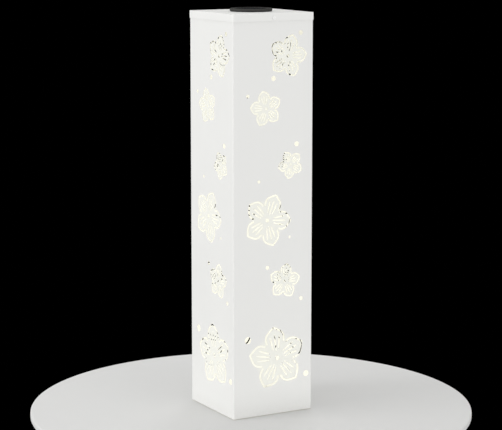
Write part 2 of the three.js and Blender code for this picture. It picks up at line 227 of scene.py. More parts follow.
@dataclass(frozen=True)
class Finish:
    """A surface finish: a colour with slow variation, a roughness and a fine grain."""

    name: str
    colour: Colour
    roughness: float = 0.5
    metallic: float = 0.0
    grain: float = 0.0006
    grain_depth: float = 0.00002
    mottle: float = 0.04
    coat: float = 0.0
    specular: float = 0.5

    def dress(self, graph: Graph) -> None:
        """Adds the finish to a graph: a slow mottle in the colour and roughness, and a fine grain in the normal.

        Args:
            graph: The material's graph.
        """
        slow = graph.noise(0.03, 3)
        darker = tuple(c * (1 - 2 * self.mottle) for c in self.colour)
        fine = graph.noise(self.grain, 2)
        graph.feed(
            {
                "Base Color": graph.blend(slow, darker, self.colour),
                "Roughness": self.roughness + (slow - 0.5) * 0.1 + (fine - 0.5) * 0.08,
                "Metallic": self.metallic,
                "Coat Weight": self.coat,
                "Specular IOR Level": self.specular,
            }
        )
        graph.bump(fine, self.grain_depth)

    def material(self) -> bpy.types.Material:
        """The finished material, made once.

        Returns:
            The material.
        """
        known = bpy.data.materials.get(self.name)
        if known:
            return known
        graph = Graph(self.name)
        self.dress(graph)
        return graph.material


@dataclass(frozen=True)
class PowderCoatWithPaintedLight(Finish):
    """White powder coat with a fine orange peel.

    On the column's walls the inward faces carry a painted glow, an emission standing in for the lamp's warm, even
    light, and a fainter painted glow on the petals stands in for the light spilling over the slots' edges. The
    corners, where
    |x| + |y| is near its most, are painted paler, a painted highlight, and are a little smoother.
    """

    with_painted_glow: bool = False
    glow: Colour = (1.0, 0.98, 0.85)
    glow_strength: float = 0.23
    spill: Colour = (0.30, 0.30, 0.11)
    flat: float = 0.087
    radius: float = 0.003
    sheet: float = 0.0006
    highlight_from: tuple[float, float] = (0.1765, 0.179)
    highlight_share: float = 0.12
    highlight_colour: Colour = (0.92, 0.92, 0.91)
    dust_height: float = 0.03
    dust_share: float = 0.1
    dust_colour: Colour = (0.45, 0.42, 0.37)

    def inward(self, graph: Graph) -> Value:
        """1 on a wall's inner face and 0 on its outer one, rolled corners included.

        The distance is that from the middle of the corner's roll: the length of (|x| - flat, |y| - flat),
        each held at 0 or more, which is the radius on the outer face and the radius less the sheet inside.

        Args:
            graph: The material's graph.

        Returns:
            The mask.
        """
        across, along = ((abs(axis) - self.flat).highest(0.0) for axis in (graph.x, graph.y))
        reach = (across * across + along * along).apply("SQRT")
        return 1 - reach.ramp(self.radius - self.sheet, self.radius)

    def on_petals(self, graph: Graph) -> Value:
        """1 on the flowers' petals, fading at their tips.

        The pattern's u runs with x on the front wall, y on the right one, -x at the back and -y on the left.
        A flower with the middle (u, z), radius R and turn t covers r < R (0.82 + 0.12 cos 5(a - t)).

        Args:
            graph: The material's graph.

        Returns:
            The mask.
        """
        sideways = abs(graph.y).below(abs(graph.x))
        front = 1 - 2 * (0 - graph.y).below(0.0)
        right = 1 - 2 * graph.x.below(0.0)
        u = (1 - sideways) * graph.x * front + sideways * graph.y * right
        total = None
        for place, height, radius, turn in Flowers().places:
            du, dz = u - (place - 90) * MM, graph.z - (height + 1.5) * MM
            lobes = ((dz.apply("ARCTAN2", du) - math.radians(turn)) * 5).apply("COSINE")
            reach = (du * du + dz * dz).apply("SQRT") / (radius * MM)
            share = 1 - (reach - lobes * 0.12).ramp(0.72, 0.92)
            total = share if total is None else total.highest(share)
        return total

    def dress(self, graph: Graph) -> None:
        """Adds orange peel in two sizes, dust by the floor, a painted highlight on the corners, and a painted glow on
        inward faces and petals.

        Args:
            graph: The material's graph.
        """
        peel = graph.noise(0.0011, 1) * 0.7 + graph.noise(0.0004, 1) * 0.3
        slow = graph.noise(0.06, 3)
        corner = abs(graph.x) + abs(graph.y)
        # Painted highlight: the corners, where |x| + |y| is near its most, are painted paler, and made a little
        # smoother.
        corner_highlight = corner.ramp(*self.highlight_from) * graph.noise(0.004, 4).ramp(0.42, 0.62)
        dust = (1 - graph.z.ramp(0.0, self.dust_height)) * graph.noise(0.006, 4).ramp(0.3, 0.7)
        shade = tuple(c * (1 - 2 * self.mottle) for c in self.colour)
        coat = graph.blend(slow, shade, self.colour)
        coat = graph.blend(corner_highlight * self.highlight_share, coat, self.highlight_colour)
        coat = graph.blend(dust * self.dust_share, coat, self.dust_colour)
        graph.feed(
            {
                "Base Color": coat,
                "Roughness": self.roughness + (slow - 0.5) * 0.12 - corner_highlight * 0.08 + dust * 0.2,
                "Coat Weight": self.coat,
                "Coat Roughness": 0.25,
            }
        )
        graph.bump(peel, self.grain_depth)
        # Painted light: an emission stands in for the lamp's light on the inward faces, and for its spill on to the
        # petals.
        if self.with_painted_glow:
            outside = graph.blend(self.on_petals(graph), (0, 0, 0), self.spill)
            graph.feed(
                {
                    "Emission Color": graph.blend(self.inward(graph), outside, self.glow),
                    "Emission Strength": self.glow_strength,
                }
            )


@dataclass(frozen=True)
class PlatedMetal(Finish):
    """Plated metal with faint drawing lines along one axis and a slow clouding."""

    along: Colour = (0.08, 1.0, 1.0)

    def dress(self, graph: Graph) -> None:
        """Adds drawing lines to the roughness and normal, and clouding to the colour.

        Args:
            graph: The material's graph.
        """
        lines = graph.noise(self.grain, 2, self.along)
        cloud = graph.noise(0.004, 3)
        darker = tuple(c * (1 - 3 * self.mottle) for c in self.colour)
        graph.feed(
            {
                "Base Color": graph.blend(cloud, darker, self.colour),
                "Metallic": 1.0,
                "Roughness": self.roughness + (lines - 0.5) * 0.2,
            }
        )
        graph.bump(lines, self.grain_depth)


@dataclass(frozen=True)
class SiliconWafer(Finish):
    """Dark silicon with thin printed fingers, broad collecting bars and the cut lines between its strips.

    Each pair is a pitch and a width in metres.
    """

    fingers: tuple[float, float] = (0.0021, 0.00014)
    bars: tuple[float, float] = (0.0150, 0.0009)
    cuts: tuple[float, float] = (0.0156, 0.0008)
    printed: Colour = (0.055, 0.057, 0.062)
    printed_share: float = 0.22

    def dress(self, graph: Graph) -> None:
        """Adds the printed grid over a dark blue crystal grain.

        Args:
            graph: The material's graph.
        """
        crystals = {"Vector": graph.where, "Scale": 260.0}
        tone = Value(graph, graph.node("ShaderNodeTexVoronoi", {}, crystals).outputs["Distance"])
        wafer = graph.blend(tone.ramp(0.1, 0.8), self.colour, (0.016, 0.024, 0.055))
        bars = (graph.y + 0.0001).line(*self.bars)
        lines = graph.x.line(*self.fingers).highest(bars)
        printed = graph.blend(lines * self.printed_share, wafer, self.printed)
        graph.feed(
            {
                "Base Color": graph.blend(graph.x.line(*self.cuts), printed, (0.018, 0.018, 0.019)),
                "Roughness": self.roughness + bars * 0.15,
                "Specular IOR Level": 0.05,
            }
        )


@dataclass(frozen=True)
class ClearPlastic(Finish):
    """A smooth, lightly smoked clear cover."""

    opacity: float = 0.35

    def dress(self, graph: Graph) -> None:
        """Adds faint haze and fine scratches to a see-through sheet.

        Args:
            graph: The material's graph.
        """
        haze = graph.noise(0.012, 4)
        graph.feed(
            {
                "Base Color": graph.blend(haze, self.colour, tuple(1.3 * c for c in self.colour)),
                "Roughness": self.roughness + haze * 0.05,
                "Alpha": self.opacity + (haze - 0.5) * 0.06,
                "Specular IOR Level": 0.04,
            }
        )


@dataclass(frozen=True)
class SolderMask(Finish):
    """Green solder mask over copper tracks, with bare gold pads. Each pair is a pitch and a width in metres."""

    tracks: tuple[float, float] = (0.0026, 0.0005)
    crossings: tuple[float, float] = (0.0031, 0.0005)
    pads_along: tuple[float, float] = (0.0052, 0.0011)
    pads_across: tuple[float, float] = (0.0062, 0.0011)
    gold: Colour = (0.75, 0.55, 0.25)

    def dress(self, graph: Graph) -> None:
        """Adds a broken grid of tracks, lighter where copper lies under the mask, and small pads.

        Args:
            graph: The material's graph.
        """
        broken = graph.noise(0.006, 1).ramp(0.47, 0.53)
        tracks = graph.x.line(*self.tracks) * broken
        copper = tracks.highest(graph.y.line(*self.crossings) * (1 - broken))
        pads = graph.x.line(*self.pads_along) * graph.y.line(*self.pads_across)
        mask = graph.blend(copper, self.colour, (0.04, 0.2, 0.07))
        graph.feed(
            {
                "Base Color": graph.blend(pads, mask, self.gold),
                "Metallic": pads,
                "Roughness": 0.42 - pads * 0.15 + (graph.noise(0.001) - 0.5) * 0.1,
            }
        )
        graph.bump(copper, 0.00004)


@dataclass(frozen=True)
class ShrinkSleeve(Finish):
    """A printed shrink sleeve whose ends leave the cell's bare metal showing."""

    half: float = 0.0235
    band: Colour = (0.55, 0.56, 0.55)
    band_from: float = 0.0135
    band_to: float = 0.0175
    bare: Colour = (0.66, 0.66, 0.64)

    def dress(self, graph: Graph) -> None:
        """Adds a pale band at one end, bare metal past the sleeve's two ends, and fine wrinkles beside them.

        Args:
            graph: The material's graph.
        """
        bare = 1 - abs(graph.x).below(self.half)
        band = (0 - graph.x).below(-self.band_from) * graph.x.below(self.band_to)
        wrinkles = graph.noise(0.0008, 3, (3.0, 0.5, 0.5))
        sleeve = graph.blend(band, self.colour, self.band)
        sleeve = graph.blend(wrinkles * 0.3, sleeve, (0.02, 0.06, 0.03))
        graph.feed(
            {
                "Base Color": graph.blend(bare, sleeve, self.bare),
                "Metallic": bare,
                "Roughness": self.roughness + (wrinkles - 0.5) * 0.2,
            }
        )
        graph.bump(wrinkles * abs(graph.x).ramp(0.018, self.half), 0.0001)


@dataclass(frozen=True)
class LitPlastic(Finish):
    """Plastic that glows from inside, with a frosted or clear grain."""

    glow: Colour = (1.0, 0.85, 0.6)
    glow_strength: float = 2.0

    def dress(self, graph: Graph) -> None:
        """Adds a fine frosting and an uneven glow.

        Args:
            graph: The material's graph.
        """
        Finish.dress(self, graph)
        soft = graph.noise(0.005, 2)
        dimmer = tuple(0.8 * c for c in self.glow)
        graph.feed({"Emission Color": graph.blend(soft, dimmer, self.glow), "Emission Strength": self.glow_strength})


WHITE = (0.845, 0.845, 0.825)
# Painted light: the walls' coat carries the painted glow inside and on the petals, and the paler painted corners.
WALL_COAT_PAINTED_LIGHT = PowderCoatWithPaintedLight("powder_coat_walls_painted_light", WHITE, 0.5, grain_depth=0.000025, mottle=0.006, with_painted_glow=True)
# Painted highlight: the lid's corners take the paler painted corner band.
LID_COAT_PAINTED_HIGHLIGHT = PowderCoatWithPaintedLight("powder_coat_lid_painted_highlight", WHITE, 0.5, grain_depth=0.000025, mottle=0.006)
# Painted highlight: the screw heads take a whiter copy of the lid's coat, so they stay bright where the key light
# leaves them shaded.
HEAD_COAT_PAINTED_HIGHLIGHT = replace(LID_COAT_PAINTED_HIGHLIGHT, name="powder_coat_screws_painted_highlight", colour=(0.95, 0.95, 0.94), roughness=0.35)
# Painted glow: the tray keeps the walls' emission, and with flat at 0.2 its whole surface takes it.
TRAY_COAT_PAINTED_GLOW = replace(WALL_COAT_PAINTED_LIGHT, name="powder_coat_tray_painted_glow", flat=0.2)
BLACK = Finish("moulded_black_plastic", (0.05, 0.05, 0.047), 0.68, grain=0.0006, grain_depth=0.000006, specular=0.25)
RUBBER = Finish("soft_rubber", (0.022, 0.022, 0.022), 0.8, grain=0.0009, grain_depth=0.00004, mottle=0.1)
FOAM = Finish("closed_cell_foam", (0.03, 0.03, 0.03), 0.95, grain=0.0007, grain_depth=0.00015, mottle=0.12)
GLOSS = Finish("smooth_switch_plastic", (0.02, 0.02, 0.02), 0.22, grain_depth=0.000004, coat=0.3)
ZINC = PlatedMetal("bright_zinc", (0.66, 0.67, 0.68), 0.3, grain=0.0004, grain_depth=0.000008)
NICKEL = PlatedMetal("nickel_plate", (0.7, 0.68, 0.63), 0.24, grain=0.0003, grain_depth=0.000005)
MIRROR = PlatedMetal("metallised_plastic", (0.86, 0.86, 0.86), 0.08, grain=0.003, grain_depth=0.00001)
WAFER = SiliconWafer("silicon_wafer", (0.012, 0.014, 0.026), 0.4)
CLEAR = ClearPlastic("smoked_clear_cover", (0.03, 0.031, 0.033), 0.3)
BOARD_MASK = SolderMask("green_solder_mask", (0.02, 0.11, 0.04), 0.45)
SLEEVE = ShrinkSleeve("green_cell_sleeve", (0.05, 0.2, 0.08), 0.35)
EPOXY = LitPlastic("warm_led_epoxy", (1.0, 0.86, 0.6), 0.15, grain_depth=0.0, glow_strength=6.0)
FROST = LitPlastic("frosted_lens", (1.0, 0.95, 0.85), 0.45, grain=0.0004, grain_depth=0.00006)


class Body(Enum):
    """The bodies that a piece can ride on."""

    COLUMN = "column"
    LID = "lid"
    MODULE = "lamp_module"
    DOOR = "battery_door"
    SLIDER = "switch_slider"


# ---- Surfaces ----


@dataclass
class Surface:
    """A shape being made: points in millimetres, and faces as rows of point numbers."""

    points: Array
    quads: Array = field(default_factory=lambda: np.zeros((0, 4), int))
    triangles: Array = field(default_factory=lambda: np.zeros((0, 3), int))

    def moved(self, offset: Place) -> "Surface":
        """A copy moved by an offset."""
        return Surface(self.points + np.array(offset), self.quads, self.triangles)

    def turned_about_z(self, degrees: float) -> "Surface":
        """A copy turned about the z axis: x' = x cos a - y sin a, y' = x sin a + y cos a.

        Args:
            degrees: The turn, counter-clockwise.

        Returns:
            The copy.
        """
        a = math.radians(degrees)
        turn = np.array([[math.cos(a), math.sin(a), 0], [-math.sin(a), math.cos(a), 0], [0, 0, 1]])
        return Surface(self.points @ turn, self.quads, self.triangles)

    def reordered(self, order: tuple[int, int, int]) -> "Surface":
        """A copy whose x, y and z are taken from other axes."""
        return Surface(self.points[:, list(order)], self.quads, self.triangles)


def joined(parts: list[Surface]) -> Surface:
    """Puts several surfaces into one, each keeping its own faces.

    Args:
        parts: The surfaces.

    Returns:
        The one surface.
    """
    starts = np.cumsum([0] + [len(p.points) for p in parts[:-1]])
    return Surface(
        np.concatenate([p.points for p in parts]),
        np.concatenate([p.quads + s for p, s in zip(parts, starts)]),
        np.concatenate([p.triangles + s for p, s in zip(parts, starts)]),
    )


def wrapped(grid: Array, closed: bool = False) -> Surface:
    """Skins a grid of points whose columns run round and meet.

    Args:
        grid: Points as (rows, columns, 3).
        closed: True joins the last row to the first.

    Returns:
        The surface, one quad for each cell.
    """
    rows, columns = grid.shape[:2]
    number = np.arange(rows * columns).reshape(rows, columns)
    if closed:
        number = np.vstack([number, number[:1]])
    after = np.roll(number, -1, axis=1)
    quads = np.stack([number[:-1], after[:-1], after[1:], number[1:]], axis=-1).reshape(-1, 4)
    return Surface(grid.reshape(-1, 3), quads)


def softened(corners: list[tuple[float, float]], cut: float | list[float], steps: int = 4) -> Array:
    """Rounds the corners of a closed outline.

    Each corner P becomes the parabola (1-t)^2 A + 2t(1-t) P + t^2 B, where A and B lie on the two
    sides at the cut distance from P, or at 45% of the side if that is less.

    Args:
        corners: The outline's corners in order.
        cut: Distance cut from each side, for all corners or one each.
        steps: Points of each arc, less one.

    Returns:
        The rounded outline as (n, 2).
    """
    p = np.array(corners, float)
    cuts = np.broadcast_to(np.array(cut, float), len(p))[:, None]
    back, ahead = np.roll(p, 1, 0) - p, np.roll(p, -1, 0) - p
    ends = []
    for side in (back, ahead):
        length = np.linalg.norm(side, axis=1, keepdims=True)
        ends.append(p + side / length * np.minimum(cuts, 0.45 * length))
    t = np.linspace(0, 1, steps + 1)[None, :, None]
    arcs = (1 - t) ** 2 * ends[0][:, None] + 2 * t * (1 - t) * p[:, None] + t**2 * ends[1][:, None]
    return arcs.reshape(-1, 2)


def spun(profile: Array, segments: int = 64, closed: bool = True) -> Surface:
    """Spins a profile of (radius, z) round the z axis: x = r cos a, y = r sin a.

    Args:
        profile: Points as (radius, z).
        segments: Steps of one turn.
        closed: True joins the last point to the first.

    Returns:
        The surface.
    """
    a = 2 * np.pi * np.arange(segments) / segments
    r, z = profile[:, :1], profile[:, 1:]
    grid = np.stack([r * np.cos(a), r * np.sin(a), z + 0 * a], axis=-1)
    return wrapped(grid, closed)


def rounded_rectangle(half_x: float, half_y: float, radius: float, per_corner: int = 6, per_side: int = 1) -> Array:
    """A rectangle whose corners are quarter circles, counter-clockwise.

    Args:
        half_x: Half its width.
        half_y: Half its depth.
        radius: Corner radius.
        per_corner: Segments of each quarter circle.
        per_side: Segments of each straight side.

    Returns:
        Points as (n, 2), the same number whatever the sizes.
    """
    a = np.linspace(0, np.pi / 2, per_corner + 1)
    quarters = a[None] + np.pi / 2 * np.arange(4)[:, None]
    centres = np.array([[1, 1], [-1, 1], [-1, -1], [1, -1]]) * [half_x - radius, half_y - radius]
    arcs = centres[:, None] + radius * np.stack([np.cos(quarters), np.sin(quarters)], axis=-1)
    t = np.linspace(0, 1, per_side + 1)[1:-1][None, :, None]
    sides = arcs[:, -1:] * (1 - t) + np.roll(arcs, -1, axis=0)[:, :1] * t
    return np.concatenate([arcs, sides], axis=1).reshape(-1, 2)


def block(low: Place, high: Place, edge: float = 0.3) -> Surface:
    """A box with rounded edges: rounded rectangles stacked up a quarter-circle, a wall and a quarter-circle.

    Args:
        low: Lowest corner.
        high: Highest corner.
        edge: Radius of the edges.

    Returns:
        The closed surface.
    """
    lo, hi = np.array(low, float), np.array(high, float)
    half = (hi - lo) / 2
    edge = min(edge, 0.45 * half.min() * 2)
    a = np.linspace(0, np.pi / 2, 4)
    inset = np.concatenate([edge * (1 - np.sin(a)), edge * (1 - np.cos(a))])
    level = np.concatenate([-half[2] + edge * (1 - np.cos(a)), half[2] - edge * (1 - np.sin(a))])
    rings = [rounded_rectangle(half[0] - i, half[1] - i, edge) for i in inset]
    flat = np.array([0 * rings[0], *rings, 0 * rings[0]])
    levels = np.concatenate([[-half[2]], level, [half[2]]])
    grid = np.concatenate([flat, np.broadcast_to(levels[:, None, None], flat.shape[:2] + (1,))], axis=-1)
    return wrapped(grid + (lo + hi) / 2)


def tube(path: Array, radius: float, segments: int = 12) -> Surface:
    """A round wire along a path, with its ends closed to points on the path.

    Each ring lies across the path's direction d, on d x k and d x (d x k), with k a fixed axis.

    Args:
        path: Points as (n, 3).
        radius: Wire radius.
        segments: Sides of the wire.

    Returns:
        The closed surface.
    """
    d = np.gradient(path, axis=0)
    d /= np.linalg.norm(d, axis=1, keepdims=True)
    k = np.array([0.31, 0.2, 0.93])
    side = np.cross(d, k)
    side /= np.linalg.norm(side, axis=1, keepdims=True)
    up = np.cross(d, side)
    a = 2 * np.pi * np.arange(segments)[None, :, None] / segments
    rings = path[:, None] + radius * (np.cos(a) * side[:, None] + np.sin(a) * up[:, None])
    ends = [np.repeat(path[i][None, None], segments, axis=1) for i in (0, -1)]
    return wrapped(np.concatenate([ends[0], rings, ends[1]]))


def widened(loop: Array, amount: float) -> Array:
    """Moves each point of a counter-clockwise loop outwards, along the mitre of its two sides.

    Args:
        loop: Points as (n, 2).
        amount: How far the sides move, inwards if negative.

    Returns:
        The moved loop.
    """
    along = np.roll(loop, -1, 0) - loop
    along /= np.linalg.norm(along, axis=1, keepdims=True)
    normal = np.stack([along[:, 1], -along[:, 0]], axis=1)
    mitre = normal + np.roll(normal, 1, 0)
    mitre /= np.linalg.norm(mitre, axis=1, keepdims=True)
    return loop + mitre * amount / np.sum(mitre * normal, axis=1, keepdims=True).clip(0.4)


def pierced(
    outline: Array, holes: list[Array], thickness: float, soft: float, folds: list[tuple[int, int]] | None = None
) -> Surface:
    """A flat sheet with holes, whose every edge is slightly broken.

    The two faces are one triangulation between the outline, drawn in by the edge's softness, and the
    holes, widened by it. Each edge then runs from the face to the full outline, along it, and back.

    Args:
        outline: The sheet's outline, counter-clockwise, as (n, 2).
        holes: The holes' outlines, counter-clockwise.
        thickness: The sheet's thickness.
        soft: How much is taken off each edge.
        folds: Pairs of outline points to join by a line, where the sheet will be bent.

    Returns:
        The closed surface, with the depth into the sheet as its third coordinate.
    """
    loops = [outline, *holes]
    faces = [widened(outline, -soft), *[widened(hole, soft) for hole in holes]]
    starts = np.cumsum([0] + [len(loop) for loop in loops])
    flat = np.concatenate(faces)
    rings = [list(range(a, b)) for a, b in zip(starts[:-1], starts[1:])]
    made = delaunay_2d_cdt([Vector(p) for p in flat], folds or [], rings, 1, 1e-6, True)
    corners, sources, owners = made[2], made[3], made[5]
    number = np.array([ids[0] if ids else -1 for ids in sources])
    if (number < 0).any():
        raise ValueError("two cut-outs cross each other")
    kept = np.array([face for face, owner in zip(corners, owners) if owner == [0]])
    triangles = number[kept]
    whole = np.concatenate(loops)
    total = len(whole)
    depth = [(flat, 0.0), (whole, soft), (whole, thickness - soft), (flat, thickness)]
    points = np.concatenate([np.column_stack([xy, np.full(total, w)]) for xy, w in depth])
    here = np.arange(total)
    ahead = np.concatenate([np.roll(here[a:b], -1) for a, b in zip(starts[:-1], starts[1:])])
    steps = [np.stack([here, ahead, ahead + total, here + total], axis=1) + i * total for i in range(3)]
    return Surface(points, np.concatenate(steps), np.concatenate([triangles, triangles[:, ::-1] + 3 * total]))


def circle(x: float, y: float, radius: float, segments: int = 24) -> Array:
    """A circle's points, counter-clockwise."""
    a = 2 * np.pi * np.arange(segments) / segments
    return np.stack([x + radius * np.cos(a), y + radius * np.sin(a)], axis=1)


def ring(angles: Array, radius: float | Array, z: float) -> Array:
    """Points at a height, round the z axis: x = r cos a, y = r sin a, with one radius for all or one each."""
    return np.stack([radius * np.cos(angles), radius * np.sin(angles), np.full(len(angles), z)], axis=1)


def slot_outline(line: Array, widths: Array, steps: int = 5) -> Array:
    """The outline of a slot along an open line, with rounded ends, counter-clockwise.

    Args:
        line: The slot's middle line as (n, 2).
        widths: Its width at each point.
        steps: Segments of each end's half circle.

    Returns:
        The outline's points.
    """
    along = np.gradient(line, axis=0)
    along /= np.linalg.norm(along, axis=1, keepdims=True)
    step = np.diff(line, axis=0)
    step /= np.linalg.norm(step, axis=1, keepdims=True)
    turn = np.sum(step[1:] * step[:-1], axis=1)
    mitre = np.concatenate([[1], np.sqrt(2 / (1 + turn)), [1]])[:, None]
    across = np.stack([-along[:, 1], along[:, 0]], axis=1)
    half = widths[:, None] / 2
    left, right = line + across * half * mitre, line - across * half * mitre
    a = np.linspace(np.pi / 2, -np.pi / 2, steps + 1)[1:-1, None]
    last = line[-1] + half[-1] * (np.cos(a) * along[-1] + np.sin(a) * across[-1])
    first = line[0] - half[0] * (np.cos(a) * along[0] + np.sin(a) * across[0])
    return np.concatenate([right, last[::-1], left[::-1], first[::-1]])


def curved(points: Array, steps: int = 4) -> Array:
    """A smooth line through points: each span is the Catmull-Rom cubic of its four nearest points.

    Args:
        points: Points as (n, 2).
        steps: Steps of each span.

    Returns:
        The line as (n, 2).
    """
    p = np.concatenate([[2 * points[0] - points[1]], points, [2 * points[-1] - points[-2]]])
    t = (np.arange(steps) / steps)[None, :, None]
    a, b, c, d = (p[i : len(p) - 3 + i][:, None] for i in range(4))
    spans = 0.5 * (2 * b + (c - a) * t + (2 * a - 5 * b + 4 * c - d) * t**2 + (3 * b - a - 3 * c + d) * t**3)
    return np.concatenate([spans.reshape(-1, 2), points[-1:]])


def placed(name: str, data: bpy.types.ID, place: Place = (0, 0, 0)) -> bpy.types.Object:
    """Puts a new object with the given data into the scene, at a place in metres.

    Args:
        name: The object's name.
        data: Its mesh, light or camera.
        place: Where it stands, in metres.

    Returns:
        The new object.
    """
    item = bpy.data.objects.new(name, data)
    item.location = place
    bpy.context.scene.collection.objects.link(item)
    return item


@dataclass
class Workshop:
    """Makes surfaces into pieces and keeps count of them. Its distances are in metres."""

    made: list[str] = field(default_factory=list)
    weld: float = 1e-6
    speck: float = 1e-7
    sharp: float = 32

    def piece(self, name: str, surface: Surface, body: Body, finish: Finish, slot: str, node: str) -> None:
        """Makes one piece, at the origin with its place in its mesh.

        Args:
            name: The piece's name.
            surface: Its shape in millimetres.
            body: The body it rides on.
            finish: Its finish.
            slot: The record's material slot. Not used.
            node: The CAD node it replaces.
        """
        mesh = bpy.data.meshes.new(name)
        mesh.from_pydata((surface.points * MM).tolist(), [], surface.quads.tolist() + surface.triangles.tolist())
        work = bmesh.new()
        work.from_mesh(mesh)
        bmesh.ops.remove_doubles(work, verts=work.verts, dist=self.weld)
        bmesh.ops.dissolve_degenerate(work, edges=work.edges, dist=self.speck)
        bmesh.ops.recalc_face_normals(work, faces=work.faces)
        work.to_mesh(mesh)
        work.free()
        mesh.shade_smooth()
        mesh.set_sharp_from_angle(angle=math.radians(self.sharp))
        mesh.materials.append(finish.material())
        piece = placed(name, mesh)
        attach(piece, body.value)
        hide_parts(node)
        self.made.append(name)
        log.info("%s: %d faces on %s", name, len(mesh.polygons), body.value)


# ---- The column ----


class Side(Enum):
    """The column's four sides, each by its turn from the front in degrees."""

    FRONT = 0
    RIGHT = 90
    BACK = 180
    LEFT = -90


@dataclass
class Flowers:
    """The pattern cut into every wall: six five-petalled flowers and ten dots.

    A flower is its place across the wall, its height, its radius and the turn of one petal in degrees.
    A dot is its place, height and diameter. A petal's edge and veins are shares of the flower's radius.
    """

    places: Rows = (
        (122.4, 718, 43.4, 3), (73.4, 616.5, 36, 30), (129, 503, 28.6, 45),
        (76.7, 395.4, 54.4, -3.8), (116.3, 269.6, 36, 9.3), (99.7, 114.5, 65.4, 26),
    )
    dots: Rows = (
        (151.5, 762.5, 9), (90, 675, 10), (32.5, 642.5, 7), (143, 543.5, 10), (57.5, 473.5, 6),
        (127.5, 358, 5), (77, 300, 8), (154.5, 231, 8), (32.5, 157.5, 14), (167, 74.5, 12),
    )
    petals: int = 5
    hub: float = 0.07
    least_width: float = 1.6
    width_growth: float = 0.025
    vein_share: float = 0.75
    edge: Rows = ((0.5, 0.302), (0.61, 0.318), (0.72, 0.295), (0.8, 0.235), (0.88, 0.13), (0.965, 0))
    veins: tuple[Rows, ...] = (
        ((0.24, 0), (0.73, 0)), ((0.28, -0.095), (0.67, -0.162)), ((0.28, 0.095), (0.67, 0.162)),
    )

    def petal(self, radius: float) -> list[Array]:
        """One petal's slots, along x from the flower's middle.

        The outline is a smooth line up one side to the pointed tip and its mirror image down the other.
        The veins are straight and a little wider towards the tip.

        Args:
            radius: The flower's radius.

        Returns:
            The slots' outlines.
        """
        width = self.least_width + self.width_growth * radius
        half = curved(np.array(self.edge) * radius)
        line = np.concatenate([half * [1, -1], half[-2::-1]])
        slots = [slot_outline(line, np.full(len(line), width))]
        share = np.linspace(0, 1, 5)[:, None]
        for start, end in np.array(self.veins) * radius:
            middle = start * (1 - share) + end * share
            taper = 0.75 + 0.45 * np.sin(np.pi * share[:, 0] ** 1.3)
            slots.append(slot_outline(middle, self.vein_share * width * taper, 4))
        return slots

    def cut_outs(self, middle: float, bottom: float) -> list[Array]:
        """Every cut-out of one wall.

        Args:
            middle: The wall's middle, taken from the pattern's first coordinate.
            bottom: The height of the pattern's foot.

        Returns:
            The outlines, in (across, height).
        """
        found = []
        for u, z, radius, turn in self.places:
            centre = np.array([u - middle, bottom + z])
            slots = self.petal(radius)
            for a in np.radians(turn + 360 / self.petals * np.arange(self.petals)):
                spin = np.array([[math.cos(a), math.sin(a)], [-math.sin(a), math.cos(a)]])
                found += [slot @ spin + centre for slot in slots]
            found.append(circle(*centre, self.hub * radius))
        found += [circle(u - middle, bottom + z, d / 2) for u, z, d in self.dots]
        return found


